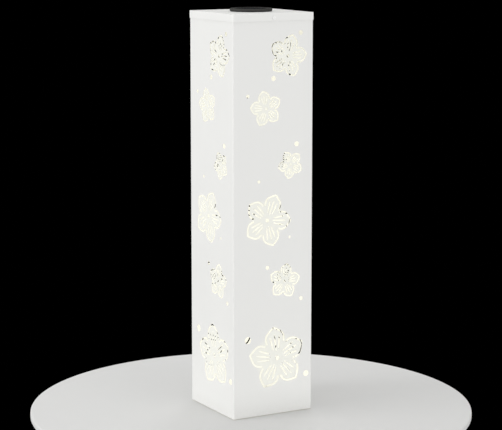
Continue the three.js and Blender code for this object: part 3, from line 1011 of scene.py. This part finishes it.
@dataclass
class Column:
    """The four cut-out walls, the floor tray inside them and its rubber feet."""

    side: float = 180
    sheet: float = 0.6
    radius: float = 3
    bottom: float = 1.5
    top: float = 801.8
    edge: float = 0.12
    notch: float = 2.2
    screw_z: float = 793.5
    folds: int = 4
    tray_z: float = 4.5
    tray_side: float = 178.2
    tray_sheet: float = 0.8
    tray_notch: float = 6
    flange: float = 15
    foot: float = 72
    foot_radius: float = 8
    stem: float = 2.6
    barb: float = 3.8
    drain: float = 40
    drain_radius: float = 3

    def flat_wall(self) -> Surface:
        """One wall before it is rolled: a notched sheet, with a fold line for each step of its two rolled edges.

        Returns:
            The sheet, with z up and its depth as the third coordinate.
        """
        flat = self.side / 2 - self.radius
        arc = self.radius * np.pi / 4
        steps = flat + arc * np.linspace(0, 1, self.folds + 1)
        across = np.concatenate([-steps[::-1], steps])
        n = len(across)
        a = np.linspace(0, -np.pi, 9)
        notch = np.stack([self.notch * np.cos(a), self.screw_z + self.notch * np.sin(a)], axis=1)
        edge = np.full(n, 1.0)
        low = np.stack([across, edge * self.bottom], axis=1)
        high = np.stack([across[::-1], edge * self.top], axis=1)
        gap = [[self.notch, self.top], *notch.tolist(), [-self.notch, self.top]]
        outline = np.concatenate([low, high[: n // 2], gap, high[n // 2 :]])
        opposite = np.concatenate([np.arange(n // 2), np.arange(n // 2) + n // 2 + len(gap)]) + n
        folds = [(i, int(opposite[n - 1 - i])) for i in range(1, n - 1)]
        holes = Flowers().cut_outs(self.side / 2, self.bottom)
        sheet = pierced(outline, holes, self.sheet, self.edge, folds)
        # The upright edges stay square, so that neighbouring walls meet in a closed weld.
        across = sheet.points[:, 0]
        sheet.points[:, 0] = np.where(abs(across) > steps[-1] - 1.2 * self.edge, np.sign(across) * steps[-1], across)
        return sheet

    def wall(self) -> Surface:
        """One wall on the -Y side.

        A point s across the flat sheet and w deep turns through a = (|s| - flat) / radius past the fold:
        x = +-(flat + (radius - w) sin a), y = -(flat + (radius - w) cos a).

        Returns:
            The surface.
        """
        sheet = self.flat_wall()
        s, z, w = sheet.points.T
        flat = self.side / 2 - self.radius
        a = np.maximum(abs(s) - flat, 0) / self.radius
        x = np.clip(s, -flat, flat) + np.sign(s) * (self.radius - w) * np.sin(a)
        y = -(flat + (self.radius - w) * np.cos(a))
        return Surface(np.stack([x, y, z], axis=1), sheet.quads, sheet.triangles)

    def tray(self) -> Surface:
        """The floor tray: a notched square sheet with drain and stem holes, and four upstands with rounded edges.

        Returns:
            The surface.
        """
        half, reach = self.tray_side / 2, self.tray_side / 2 - self.tray_notch
        cross = [(half, -reach), (half, reach), (reach, reach), (reach, half), (-reach, half), (-reach, reach)]
        cross += [(-half, reach), (-half, -reach), (-reach, -reach), (-reach, -half), (reach, -half), (reach, -reach)]
        outline = softened(cross, 0.8, 2)
        sizes = ((self.foot, self.stem + GAP), (self.drain, self.drain_radius))
        holes = [circle(sx * at, sy * at, size) for at, size in sizes for sx in (-1, 1) for sy in (-1, 1)]
        floor = pierced(outline, holes, self.tray_sheet, 0.15).moved((0, 0, self.tray_z))
        low = (-reach, -half, self.tray_z + 0.05)
        upstand = block(low, (reach, -half + self.tray_sheet, self.tray_z + self.flange), 0.3)
        return joined([floor, *[upstand.turned_about_z(90 * i) for i in range(4)]])

    def foot_pad(self) -> Surface:
        """A push-in bumper: a pad with a soft rim and a shallow groove, and a barbed stem.

        Returns:
            The surface.
        """
        pad = self.tray_z - GAP
        over = self.tray_z + self.tray_sheet + GAP
        r = self.foot_radius
        profile = [(0, 0.3), (r - 3, 0.3), (r - 2.4, 0), (r - 0.9, 0), (r, 0.9), (r, pad), (self.stem, pad)]
        profile += [(self.stem, over), (self.barb, over), (self.stem, over + 2.4), (0, over + 2.4)]
        return spun(softened(profile, 0.35, 3), 40)

    def build(self, shop: Workshop) -> None:
        """Makes the walls, the tray and the feet.

        Args:
            shop: What makes the pieces.
        """
        wall = self.wall()
        for side in Side:
            name = side.name.lower()
            turned = wall.turned_about_z(side.value)
            shop.piece(f"wall_{name}", turned, Body.COLUMN, WALL_COAT_PAINTED_LIGHT, "powder_coat", f"panel_{name}")
        shop.piece("floor_tray", self.tray(), Body.COLUMN, TRAY_COAT_PAINTED_GLOW, "powder_coat", "base_plate")
        pad = self.foot_pad()
        for i, (sx, sy) in enumerate([(-1, -1), (1, -1), (1, 1), (-1, 1)], 1):
            at = pad.moved((sx * self.foot, sy * self.foot, 0))
            shop.piece(f"foot_{i}", at, Body.COLUMN, RUBBER, "rubber", f"rubber_foot_{i}")


# ---- Screws ----


@dataclass
class PanScrew:
    """A pan-head screw with a cross recess, head down, its seat at z = 0."""

    shank: float
    head: float
    head_height: float
    length: float
    pitch: float = 0.7
    recess: float = 0.62
    groove: float = 0.14
    groove_depth: float = 0.55
    crown: float = 0.45

    def surface(self) -> Surface:
        """The screw.

        The head's crown falls off as the cube of the radius. The recess is two crossed grooves with
        sloping ends, pushed into the crown. The shank's radius rises and falls once in each pitch.

        Returns:
            The surface.
        """
        r = np.linspace(0, 1, 15)
        crown = np.stack([self.head * r, -self.head_height * (1 - self.crown * r**3)], axis=1)
        rim = np.array([[self.head, -0.25 * self.head_height], [self.head - 0.1, -0.02], [self.shank, 0]])
        z = np.arange(0.3, self.length - 0.4, self.pitch / 4)
        wave = self.shank * (0.94 + 0.06 * np.cos(2 * np.pi * z / self.pitch))
        thread = np.stack([wave, z], axis=1)
        tip = np.array([[0.8 * self.shank, self.length], [0, self.length]])
        made = spun(np.concatenate([crown, rim, thread, tip]), 48, closed=False)
        x, y, z = made.points.T
        span = np.hypot(x, y) / (self.recess * self.head)
        groove = 1 - np.minimum(abs(x), abs(y)) / (self.groove * self.head)
        depth = self.groove_depth * self.head_height * np.clip(groove * 2, 0, 1) * np.clip((1 - span) * 3, 0, 1)
        made.points[:, 2] = z + np.where(z < -0.5 * self.head_height, depth, 0)
        return made


# ---- The lid ----


@dataclass
class Lid:
    """The folded lid, its two screws and their nuts."""

    side: float = 182.6
    top: float = 803.1
    sheet: float = 1
    skirt: float = 15
    corner: float = 4.3
    bend: float = 1.2
    hole: float = 35
    edge: float = 0.2
    screw: PanScrew = field(default_factory=lambda: PanScrew(1.9, 3.6, 2, 9))
    screw_z: float = 793.5
    nut_radius: float = 4.2
    nut_height: float = 3
    wall_face: float = 89.1

    def surface(self) -> Surface:
        """The lid as one sheet.

        Rings run round it: rounded squares, drawn in by an inset at each height, down the outside of the
        skirt, round its lower edge and up the inside, and circles at the hole in the middle.

        Returns:
            The surface.
        """
        half, low = self.side / 2, self.top - self.skirt
        a = np.linspace(0, np.pi / 2, 6)
        outer = np.stack([self.bend * (1 - np.sin(a)), self.top - self.bend * (1 - np.cos(a))], axis=1)
        bend, under = self.bend - self.sheet, self.top - self.sheet
        inner = np.stack([self.sheet + bend * (1 - np.sin(a)), under - bend * (1 - np.cos(a))], axis=1)
        e = self.edge
        lip = np.array([[0, low + e], [e, low], [self.sheet - e, low], [self.sheet, low + e]])
        rows = np.concatenate([outer, lip, inner[::-1]])
        rings = []
        for inset, z in rows:
            square = rounded_rectangle(half - inset, half - inset, self.corner - inset, 8, 16)
            rings.append(np.column_stack([square, np.full(len(square), z)]))
        a = np.arctan2(rings[0][:, 1], rings[0][:, 0])
        hole = [(self.hole + e, under), (self.hole, under + e), (self.hole, self.top - e), (self.hole + e, self.top)]
        return wrapped(np.array([*rings, *[ring(a, r, z) for r, z in hole]]), closed=True)

    def nut(self) -> Surface:
        """A hexagonal nut along z, its corners chamfered, with a round bore.

        The hexagon's radius at angle a is apothem / cos(a'), where a' is the angle from the nearest side's middle.

        Returns:
            The surface.
        """
        a = 2 * np.pi * np.arange(48) / 48
        apothem = self.nut_radius * math.cos(math.pi / 6)
        near = (a + np.pi / 6) % (np.pi / 3) - np.pi / 6
        hexagon = apothem / np.cos(near)
        chamfer = np.minimum(hexagon, apothem * 1.03)
        bore, h = self.screw.shank + GAP, self.nut_height
        rows = [(bore, 0.2), (bore + 0.2, 0), (chamfer, 0), (hexagon, 0.35)]
        rows += [(hexagon, h - 0.35), (chamfer, h), (bore + 0.2, h), (bore, h - 0.2)]
        return wrapped(np.array([ring(a, r, z) for r, z in rows]), closed=True)

    def build(self, shop: Workshop) -> None:
        """Makes the lid, then turns each screw and nut so that it lies along y.

        Args:
            shop: What makes the pieces.
        """
        shop.piece("lid_sheet", self.surface(), Body.LID, LID_COAT_PAINTED_HIGHLIGHT, "powder_coat", "lid")
        screw = self.screw.surface().reordered((0, 2, 1)).moved((0, -self.side / 2 - GAP, self.screw_z))
        nut = self.nut().reordered((0, 2, 1)).moved((0, -self.wall_face, self.screw_z))
        for side in (Side.FRONT, Side.BACK):
            name = side.name.lower()
            head, back = (part.turned_about_z(side.value) for part in (screw, nut))
            shop.piece(f"skirt_screw_{name}", head, Body.LID, HEAD_COAT_PAINTED_HIGHLIGHT, "powder_coat", f"lid_screw_{name}")
            shop.piece(f"skirt_nut_{name}", back, Body.LID, ZINC, "screw_steel", f"lid_nut_{name}")


# ---- The lamp module ----


@dataclass
class LampModule:
    """The drop-in module: its heights are measured from the lid's top."""

    top: float = 803.1
    flange: float = 42.2
    height: float = 6.2
    barrel: float = 33.5
    wall: float = 2.2
    depth: float = 24
    recess: float = 31.7
    recess_floor: float = 2.4
    ledge: float = 27.5
    ledge_under: float = 0.8
    cell: float = 1.6
    clear: float = 0.9
    gasket: tuple[float, float, float] = (35.6, 41.2, 1.0)
    boss_at: float = 27.2
    boss: float = 3
    boss_height: float = 16
    boss_angles: tuple[int, int, int] = (90, 210, 330)

    def housing(self) -> Surface:
        """The turned housing with a rounded bezel, and inside it three screw bosses.

        Returns:
            The surface.
        """
        lip = self.gasket[2] + 2 * GAP
        inner = self.barrel - self.wall
        corners = [(inner, -self.depth), (self.barrel, -self.depth), (self.barrel, lip), (self.flange, lip)]
        corners += [(self.flange, self.height), (self.recess, self.height), (self.recess, self.recess_floor)]
        corners += [(self.ledge, self.recess_floor), (self.ledge, self.ledge_under), (inner, self.ledge_under)]
        cuts = [0.3, 0.5, 0.5, 0.5, 1.5, 0.6, 0.1, 0.1, 0.1, 0.1]
        shell = spun(softened(corners, cuts, 5), 160)
        parts = [shell]
        for degrees in self.boss_angles:
            a = math.radians(degrees)
            post = [(1.5, -self.depth), (self.boss, -self.depth), (self.boss, self.boss_height - self.depth)]
            post += [(1.5, self.boss_height - self.depth)]
            rod = spun(softened(post, 0.2, 2), 32)
            parts.append(rod.moved((self.boss_at * math.cos(a), self.boss_at * math.sin(a), 0)))
        return joined(parts).moved((0, 0, self.top))

    def disc(self, low: float, high: float, radius: float, edge: float) -> Surface:
        """A flat disc with a rounded rim."""
        corners = [(0, low), (radius, low), (radius, high), (0, high)]
        return spun(softened(corners, [0, edge, edge, 0], 4), 128).moved((0, 0, self.top))

    def build(self, shop: Workshop) -> None:
        """Makes the housing, the gasket, the solar cell and the clear cover.

        Args:
            shop: What makes the pieces.
        """
        shop.piece("bezel_and_barrel", self.housing(), Body.MODULE, BLACK, "black_plastic", "module_housing")
        inner, outer, thick = self.gasket
        foam = softened([(inner, GAP), (outer, GAP), (outer, GAP + thick), (inner, GAP + thick)], 0.25, 3)
        foam_ring = spun(foam, 96).moved((0, 0, self.top))
        shop.piece("foam_ring", foam_ring, Body.MODULE, FOAM, "foam_rubber", "module_gasket")
        base = self.recess_floor + GAP
        radius = self.recess - GAP
        wafer = self.disc(base, base + self.cell, radius, 0.15)
        shop.piece("cell_wafer", wafer, Body.MODULE, WAFER, "solar_cell", "solar_cell")
        base += self.cell + GAP
        window = self.disc(base, base + self.clear, radius, 0.3)
        shop.piece("clear_window", window, Body.MODULE, CLEAR, "clear_cover", "clear_cover")


def along_x(profile: Array, segments: int = 48, closed: bool = True) -> Surface:
    """A profile of (radius, x) spun round the x axis."""
    return spun(profile, segments, closed).reordered((2, 0, 1))


@dataclass
class Hinge:
    """The battery door's hinge, under the bottom cover."""

    y: float = -1.9
    z: float = -28.3
    barrel: float = 1.7
    bore: float = 1
    pin: float = 0.7
    lug: float = 4
    lug_at: float = 19
    barrel_at: float = 14.5

    def knuckle(self, at: float, outline: list[tuple[float, float]], low: float, high: float) -> Surface:
        """One knuckle: a side shape in (y, z), pierced by the pin's bore and lug thick along x.

        Args:
            at: The knuckle's middle along x.
            outline: The rest of its outline, from the end of the barrel's arc to its start.
            low: Angle at which the barrel's arc starts, in degrees.
            high: Angle at which it ends.

        Returns:
            The closed surface.
        """
        a = np.radians(np.linspace(low, high, 15))
        arc = np.stack([self.y + self.barrel * np.cos(a), self.z + self.barrel * np.sin(a)], axis=1)
        side = pierced(np.concatenate([arc, outline]), [circle(self.y, self.z, self.bore, 20)], self.lug, 0.15)
        return side.reordered((2, 0, 1)).moved((at - self.lug / 2, 0, 0))

    def rod(self) -> Surface:
        """The hinge pin, with domed ends.

        Returns:
            The surface.
        """
        end = self.lug_at + self.lug / 2
        profile = softened([(0, -end), (self.pin, -end), (self.pin, end), (0, end)], [0, 0.4, 0.4, 0], 4)
        return along_x(profile, 24).moved((0, self.y, self.z))


@dataclass
class ModuleUnderside:
    """The module's bottom cover with its door, lens and switch. Heights are measured from the lid's top."""

    top: float = 803.1
    radius: float = 33.5
    low: float = -26.3
    high: float = -24.3
    door_x: float = 25.7
    door_y: tuple[float, float, float] = (-0.1, 14.5, 15.2)
    lamp_y: float = -15
    lens: float = 11.5
    lens_drop: float = 5
    switch: tuple[float, float] = (14, 20.5)
    travel: float = 3
    nub: tuple[float, float] = (3, 2)
    bosses: tuple[float, float] = (27.2, 1.5)
    angles: tuple[int, int, int] = (90, 210, 330)
    bead: Rows = ((0.6, 0.1), (0.7, -0.4), (1.7, -0.4), (1.9, 0.1))
    ridges: tuple[float, float, int] = (8.5, 12.5, 5)
    ridge: tuple[float, float] = (7, 0.25)
    ribs: tuple[float, ...] = (0.2, 0.9, 1.6, 2.3)
    rib: float = 0.4
    case: tuple[float, float, float] = (5, 2.4, 6)
    case_above: float = 1.5
    legs: tuple[float, ...] = (-3, 0, 3)
    leg: tuple[float, float, float] = (0.3, 0.4, 2)
    hinge: Hinge = field(default_factory=Hinge)
    screw: PanScrew = field(default_factory=lambda: PanScrew(1.1, 2.4, 1.5, 12, 0.5))

    def boss_places(self) -> list[tuple[float, float]]:
        """The middles of the three screws."""
        turns = [math.radians(a) for a in self.angles]
        return [(self.bosses[0] * math.cos(a), self.bosses[0] * math.sin(a)) for a in turns]

    def cover(self) -> Surface:
        """The cover: a disc pierced for the door, lens, switch and screws, two hinge lugs and the lens's bead.

        Returns:
            The surface.
        """
        near, _, far = self.door_y
        door = rounded_rectangle(self.door_x + GAP, (far - near + GAP) / 2, 0.8) + [0, (far + near - GAP) / 2]
        slot = rounded_rectangle((self.nub[0] + self.travel) / 2 + GAP, self.nub[1] / 2 + GAP, 0.4) + self.switch
        holes = [door, slot, circle(0, self.lamp_y, self.lens + GAP, 64)]
        holes += [circle(x, y, self.bosses[1], 20) for x, y in self.boss_places()]
        disc = pierced(circle(0, 0, self.radius, 144), holes, self.high - self.low, 0.3).moved((0, 0, self.low))
        h = self.hinge
        rest = [(h.y + 1.2, self.low + 0.4), (h.y - h.barrel, self.low + 0.4)]
        lugs = [h.knuckle(x, rest, -180, 45) for x in (-h.lug_at, h.lug_at)]
        bead = [(self.lens + out, self.low + up) for out, up in self.bead]
        rim = spun(softened(bead, 0.3, 3), 96).moved((0, self.lamp_y, 0))
        return joined([disc, *lugs, rim])

    def door(self) -> Surface:
        """The door: a plate with rounded corners, five finger ridges and two hinge arms.

        Returns:
            The surface.
        """
        near, far, _ = self.door_y
        outline = rounded_rectangle(self.door_x, (far - near) / 2, 0.8) + [0, (far + near) / 2]
        plate = pierced(outline, [], self.high - self.low, 0.25).moved((0, 0, self.low))
        long, wide = self.ridge
        ridges = [
            block((-long, y - wide, self.low - 0.35), (long, y + wide, self.low + 0.3), 0.2)
            for y in np.linspace(*self.ridges)
        ]
        h = self.hinge
        reach = near + 2
        rest = [(reach, h.z - h.barrel), (reach, self.low + 0.4), (near, self.low + 0.4), (near, h.z + 1)]
        arms = [h.knuckle(x, rest, 36, 270) for x in (-h.barrel_at, h.barrel_at)]
        return joined([plate, *ridges, *arms])

    def dome(self) -> Surface:
        """The lens: r = R sin a and z = low - drop cos a round its dome, then a straight rim to the cover's top.

        Returns:
            The surface.
        """
        a = np.linspace(0, np.pi / 2, 20)
        arc = np.stack([self.lens * np.sin(a), self.low - self.lens_drop * np.cos(a)], axis=1)
        rim = [(self.lens, self.high), (self.lens - 1.2, self.high), (0, self.high)]
        return spun(np.concatenate([arc, rim]), 80, closed=False).moved((0, self.lamp_y, 0))

    def switch_case(self) -> Surface:
        """The switch's case, with three legs that reach up to the board.

        Returns:
            The surface.
        """
        x, y = self.switch
        half_x, half_y, height = self.case
        foot = self.high + self.case_above
        roof = foot + height
        wide, deep, tall = self.leg
        legs = [
            block((x + d - wide, y - deep, roof - 0.5), (x + d + wide, y + deep, roof + tall), 0.1) for d in self.legs
        ]
        return joined([block((x - half_x, y - half_y, foot), (x + half_x, y + half_y, roof), 0.4), *legs])

    def slider(self) -> Surface:
        """The switch's slider: a shoe above the cover and a ribbed nub through its slot.

        Returns:
            The surface.
        """
        x, y = self.switch
        start, (long, wide) = x - (self.nub[0] + self.travel) / 2, self.nub
        shoe = block((start - 1, y - 2, self.high + GAP), (start + long + 1, y + 2, self.high + GAP + 0.8), 0.2)
        nub = block((start, y - wide / 2, self.low - 1.3), (start + long, y + wide / 2, self.high + GAP + 0.4), 0.2)
        ribs = [
            block((x0, y - wide / 2, self.low - 1.6), (x0 + self.rib, y + wide / 2, self.low - 1), 0.12)
            for x0 in start + np.array(self.ribs)
        ]
        return joined([shoe, nub, *ribs])

    def build(self, shop: Workshop) -> None:
        """Makes the cover, door, pin, lens, switch and screws.

        Args:
            shop: What makes the pieces.
        """
        made = {
            "underside_cover": (self.cover(), Body.MODULE, BLACK, "black_plastic", "bottom_cover"),
            "cell_door": (self.door(), Body.DOOR, BLACK, "black_plastic", "battery_door"),
            "hinge_rod": (self.hinge.rod(), Body.MODULE, NICKEL, "contact_metal", "door_hinge_pin"),
            "lens_dome": (self.dome(), Body.MODULE, FROST, "frosted_lens", "lens"),
            "switch_case": (self.switch_case(), Body.MODULE, GLOSS, "black_plastic", "switch_body"),
            "switch_nub": (self.slider(), Body.SLIDER, GLOSS, "switch_plastic", "switch_slider"),
        }
        for i, (x, y) in enumerate(self.boss_places(), 1):
            at = self.screw.surface().moved((x, y, self.low - GAP))
            made[f"cover_screw_{i}"] = (at, Body.MODULE, ZINC, "screw_steel", f"module_screw_{i}")
        for name, (surface, *rest) in made.items():
            shop.piece(name, surface.moved((0, 0, self.top)), *rest)


@dataclass
class ModuleInside:
    """What the module holds: the board, the cell with its contacts, and the lamp in its cup."""

    top: float = 803.1
    board: tuple[float, float, float] = (29, -7.7, 1.6)
    cell: tuple[float, float] = (7.1, 50)
    cell_y: float = 7.2
    cell_z: float = -15.4
    cap: tuple[float, float] = (2.6, 1.4)
    contact: tuple[float, float, float] = (9, 0.5, 2.8)
    lamp_y: float = -15
    led: float = 2.5
    cup: tuple[float, float, float] = (4.2, 11.5, 0.8)
    cup_z: tuple[float, float] = (-23.3, -9.7)
    chip: tuple[float, float, float, float, float] = (-9, -14, -3, -9, 1.2)
    chip_legs: tuple[float, float, int] = (-13.2, -9.8, 4)
    coil: tuple[float, float] = (8, -10)
    turns: float = 6
    rectifier: tuple[float, float, float, float, float] = (2.6, 4, 8.4, 7, 0.95)
    resistors: Rows = ((-12, 3), (-12, 6), (-6, 9), (14, 2), (15, -3), (-15, -4), (0, -20), (4, -20))
    drops: Rows = ((-20, 8), (-20, 12), (20, 8), (20, 12))
    spring_turns: float = 2.5

    def board_shape(self) -> Surface:
        """The board with its chip and legs, wound coil, diode, small resistors and solder dots.

        Returns:
            The surface.
        """
        radius, low, thick = self.board
        face = low + thick - 0.05
        base = pierced(circle(0, 0, radius, 96), [circle(x, -15, 0.5, 12) for x in (-1.3, 1.3)], thick, 0.1)
        x0, y0, x1, y1, tall = self.chip
        parts = [base.moved((0, 0, low)), block((x0, y0, face), (x1, y1, face + tall), 0.15)]
        for y in np.linspace(*self.chip_legs):
            for x0, x1 in ((-10, -8.9), (-3.1, -2)):
                parts.append(block((x0, y - 0.2, face), (x1, y + 0.2, face + 0.35), 0.08))
        along = np.linspace(0, 1, 49)
        winding = np.stack([3.2 - 0.2 * np.cos(2 * np.pi * self.turns * along), face + 0.3 + 1.7 * along], axis=1)
        cap = [(3.4, face + 2.3), (0.9, face + 2.4), (0, face + 2.1)]
        coil = np.concatenate([[(0, face), (3.4, face)], winding, cap])
        parts.append(spun(coil, 40, closed=False).moved((*self.coil, 0)))
        x0, y0, x1, y1, tall = self.rectifier
        parts.append(block((x0, y0, face), (x1, y1, face + tall), 0.3))
        parts += [block((x, 5, face), (x + 1, 6, face + 0.4), 0.1) for x in (2, 8)]
        for x, y in self.resistors:
            parts.append(block((x, y, face), (x + 1.8, y + 1, face + 0.45), 0.12))
        drop = softened([(0, face), (0.8, face), (0, face + 0.7)], [0, 0.1, 0.3], 3)
        parts += [spun(drop, 16).moved((x, y, 0)) for x, y in self.drops]
        return joined(parts)

    def cell_shape(self) -> Surface:
        """The cell: a can with rounded shoulders, a crimped groove by the plus end and a raised button.

        Returns:
            The surface.
        """
        r, length = self.cell
        cap, rise = self.cap
        low, high = -length / 2, length / 2 - rise
        corners = [(0, low), (r, low), (r, high - 3), (r - 0.35, high - 2.4), (r, high - 1.8), (r, high)]
        corners += [(r - 2, high), (r - 2.4, high - 0.2), (cap, high - 0.2), (cap, high + rise), (0, high + rise)]
        cuts = [0, 0.8, 0.3, 0.3, 0.3, 0.7, 0.2, 0.2, 0.2, 0.5, 0]
        return along_x(softened(corners, cuts, 4), 64).moved((0, self.cell_y, self.cell_z))

    def spring(self) -> Surface:
        """A conical spring: the angle and the radius both grow evenly along x, for two and a half turns.

        Returns:
            The surface.
        """
        t = np.linspace(0, 1, 121)
        a = 2 * np.pi * self.spring_turns * t
        r = 2 + 2 * t
        x = -25.7 - 1.4 * t
        path = np.stack([x, self.cell_y + r * np.cos(a), self.cell_z + r * np.sin(a)], axis=1)
        return tube(path, 0.4, 10)

    def plate(self, side: int) -> Surface:
        """A contact plate with a pressed dimple towards the cell.

        Args:
            side: 1 for the plus end, -1 for the minus end.

        Returns:
            The surface.
        """
        size, thick, room = self.contact
        inner = self.cell[1] / 2 + (GAP if side > 0 else room)
        x0, x1 = sorted((side * inner, side * (inner + thick)))
        y, z = self.cell_y, self.cell_z
        flat = block((x0, y - size / 2, z - size / 2), (x1, y + size / 2, z + size / 2), 0.12)
        at = side * (inner + 0.1)
        ring = along_x(softened([(1.6, at - 0.15), (2.4, at - 0.15), (2.4, at + 0.15), (1.6, at + 0.15)], 0.1, 2), 32)
        return joined([flat, ring.moved((0, y, z))])

    def diode(self) -> Surface:
        """The light-emitting diode: a domed body on a collar.

        Returns:
            The surface.
        """
        top = self.board[1] - GAP
        a = np.linspace(0, np.pi / 2, 12)
        dome = np.stack([self.led * np.sin(a), top - 4.5 - self.led * np.cos(a)], axis=1)
        wide = self.led + 0.4
        collar = [(self.led, top - 1), (wide, top - 0.9), (wide, top - 0.1), (wide - 0.2, top), (0, top)]
        return spun(np.concatenate([dome, collar]), 48, closed=False).moved((0, self.lamp_y, 0))

    def reflector(self) -> Surface:
        """The cup: its radius grows as the 0.8th power of the depth below its neck, inside and out.

        Returns:
            The surface.
        """
        neck, mouth, wall = self.cup
        low, high = self.cup_z
        t = np.linspace(0, 1, 16)
        outer = np.stack([neck + (mouth - neck) * t**0.8, high + (low - high) * t], axis=1)
        return spun(np.concatenate([outer, (outer - [wall, 0])[::-1]]), 72).moved((0, self.lamp_y, 0))

    def build(self, shop: Workshop) -> None:
        """Makes the board, cell, contacts and lamp.

        Args:
            shop: What makes the pieces.
        """
        made = {
            "board_and_parts": (self.board_shape(), BOARD_MASK, "circuit_board", "circuit_board"),
            "sleeved_cell": (self.cell_shape(), SLEEVE, "battery_sleeve", "battery"),
            "minus_spring": (self.spring(), NICKEL, "contact_metal", "contact_spring"),
            "minus_plate": (self.plate(-1), NICKEL, "contact_metal", "contact_plate_minus"),
            "plus_plate": (self.plate(1), NICKEL, "contact_metal", "contact_plate_plus"),
            "warm_diode": (self.diode(), EPOXY, "led_epoxy", "led"),
            "lamp_cup": (self.reflector(), MIRROR, "reflector", "reflector"),
        }
        for name, (surface, finish, slot, node) in made.items():
            shop.piece(name, surface.moved((0, 0, self.top)), Body.MODULE, finish, slot, node)


# ---- The studio ----


@dataclass(frozen=True)
class Lamp:
    """A soft square light: its place, the point it faces and its side in metres, and its power in watts."""

    place: Place
    aim: Place
    side: float
    power: float
    mirrored: bool = True

    def hang(self, name: str) -> None:
        """Adds the light under a name. Only where it is mirrored do glossy surfaces reflect it.

        Args:
            name: The light's name.
        """
        data = bpy.data.lights.new(name, "AREA")
        data.size, data.energy = self.side, self.power
        light = placed(name, data, self.place)
        light.rotation_mode = "QUATERNION"
        light.rotation_quaternion = (Vector(self.aim) - Vector(self.place)).to_track_quat("-Z", "Y")
        light.visible_camera, light.visible_glossy = False, self.mirrored


@dataclass
class Studio:
    """The floor, the lights and the camera. Distances are in metres, but for the floor's radius."""

    azimuth: float = 29.282
    distance: float = 3.6
    eye: float = 0.9925
    pitch: float = 9.444
    lens: float = 129.68
    floor_radius: float = 450
    world: float = 0.6
    glow_power: float = 0.01
    glow_colour: Colour = (1.0, 0.9, 0.66)
    glow_heights: tuple[float, float, int] = (0.09, 0.73, 6)
    lamps: dict[str, Lamp] = field(
        default_factory=lambda: {
            "key": Lamp((-2.8, 0.5, 0.9), (0, 0, 0.3), 1.6, 38),
            "front": Lamp((0.65, -2.82, 0.42), (0, 0, 0.2), 1.6, 27),
            "top": Lamp((-0.2, -0.1, 2.6), (0, 0, 0.8), 1.4, 14),
            "back": Lamp((1.6, 2.0, 1.6), (0, 0, 0.42), 1.6, 24, mirrored=False),
        }
    )

    def camera(self) -> None:
        """Sets the camera at its place, looking slightly down."""
        a, p = math.radians(self.azimuth), math.radians(self.pitch)
        ahead = Vector((math.sin(a) * math.cos(p), math.cos(a) * math.cos(p), -math.sin(p)))
        data = bpy.data.cameras.new("camera")
        data.lens, data.sensor_width, data.clip_start, data.clip_end = self.lens, 36, 0.05, 60
        eye = placed("camera", data, (-self.distance * math.sin(a), -self.distance * math.cos(a), self.eye))
        eye.rotation_mode = "QUATERNION"
        eye.rotation_quaternion = ahead.to_track_quat("-Z", "Y")
        bpy.context.scene.camera = eye

    def inner_glow(self) -> None:
        """Adds soft warm lights up the middle of the column, where the lamp's light bounces between the walls."""
        for i, z in enumerate(np.linspace(*self.glow_heights)):
            data = bpy.data.lights.new(f"glow_{i}", "POINT")
            data.energy, data.color, data.shadow_soft_size = self.glow_power, self.glow_colour, 0.03
            placed(f"glow_{i}", data, (0, 0, float(z))).visible_camera = False

    def floor(self) -> None:
        """Lays a pale round floor with a soft rim."""
        r = self.floor_radius
        profile = softened([(0, -12), (r, -12), (r, 0), (0, 0)], [0, 2, 4, 0], 4)
        surface = spun(profile, 160)
        mesh = bpy.data.meshes.new("floor")
        mesh.from_pydata((surface.points * MM).tolist(), [], surface.quads.tolist())
        paint = Finish("pale_floor", (0.68, 0.68, 0.67), 0.7, grain=0.004, grain_depth=0.00002, mottle=0.01)
        mesh.materials.append(paint.material())
        placed("floor", mesh)

    def surroundings(self) -> None:
        """Makes the room a soft even light, but a dark backdrop to the camera and to mirror reflections."""
        scene = bpy.context.scene
        scene.world = bpy.data.worlds.new("studio")
        scene.world.use_nodes = True
        nodes, links = scene.world.node_tree.nodes, scene.world.node_tree.links
        soft = nodes["Background"]
        soft.inputs["Color"].default_value = (1, 1, 1, 1)
        soft.inputs["Strength"].default_value = self.world
        dark = nodes.new("ShaderNodeBackground")
        dark.inputs["Color"].default_value = (0.0, 0.0, 0.0, 1)
        path, mix = nodes.new("ShaderNodeLightPath"), nodes.new("ShaderNodeMixShader")
        seen = nodes.new("ShaderNodeMath")
        seen.operation = "MAXIMUM"
        links.new(path.outputs["Is Camera Ray"], seen.inputs[0])
        links.new(path.outputs["Is Glossy Ray"], seen.inputs[1])
        links.new(seen.outputs[0], mix.inputs[0])
        links.new(soft.outputs[0], mix.inputs[1])
        links.new(dark.outputs[0], mix.inputs[2])
        links.new(mix.outputs[0], nodes["World Output"].inputs[0])
        scene.view_settings.view_transform = "Standard"
        scene.view_settings.look = "None"

    def build(self) -> None:
        """Sets up the whole studio."""
        self.camera()
        self.floor()
        self.surroundings()
        for name, lamp in self.lamps.items():
            lamp.hang(name)
        self.inner_glow()


def main() -> None:
    """Builds the lantern and its studio."""
    Studio().build()
    shop = Workshop()
    Column().build(shop)
    Lid().build(shop)
    LampModule().build(shop)
    ModuleUnderside().build(shop)
    ModuleInside().build(shop)
    log.info("%d pieces made", len(shop.made))


if __name__ == "__main__":
    main()
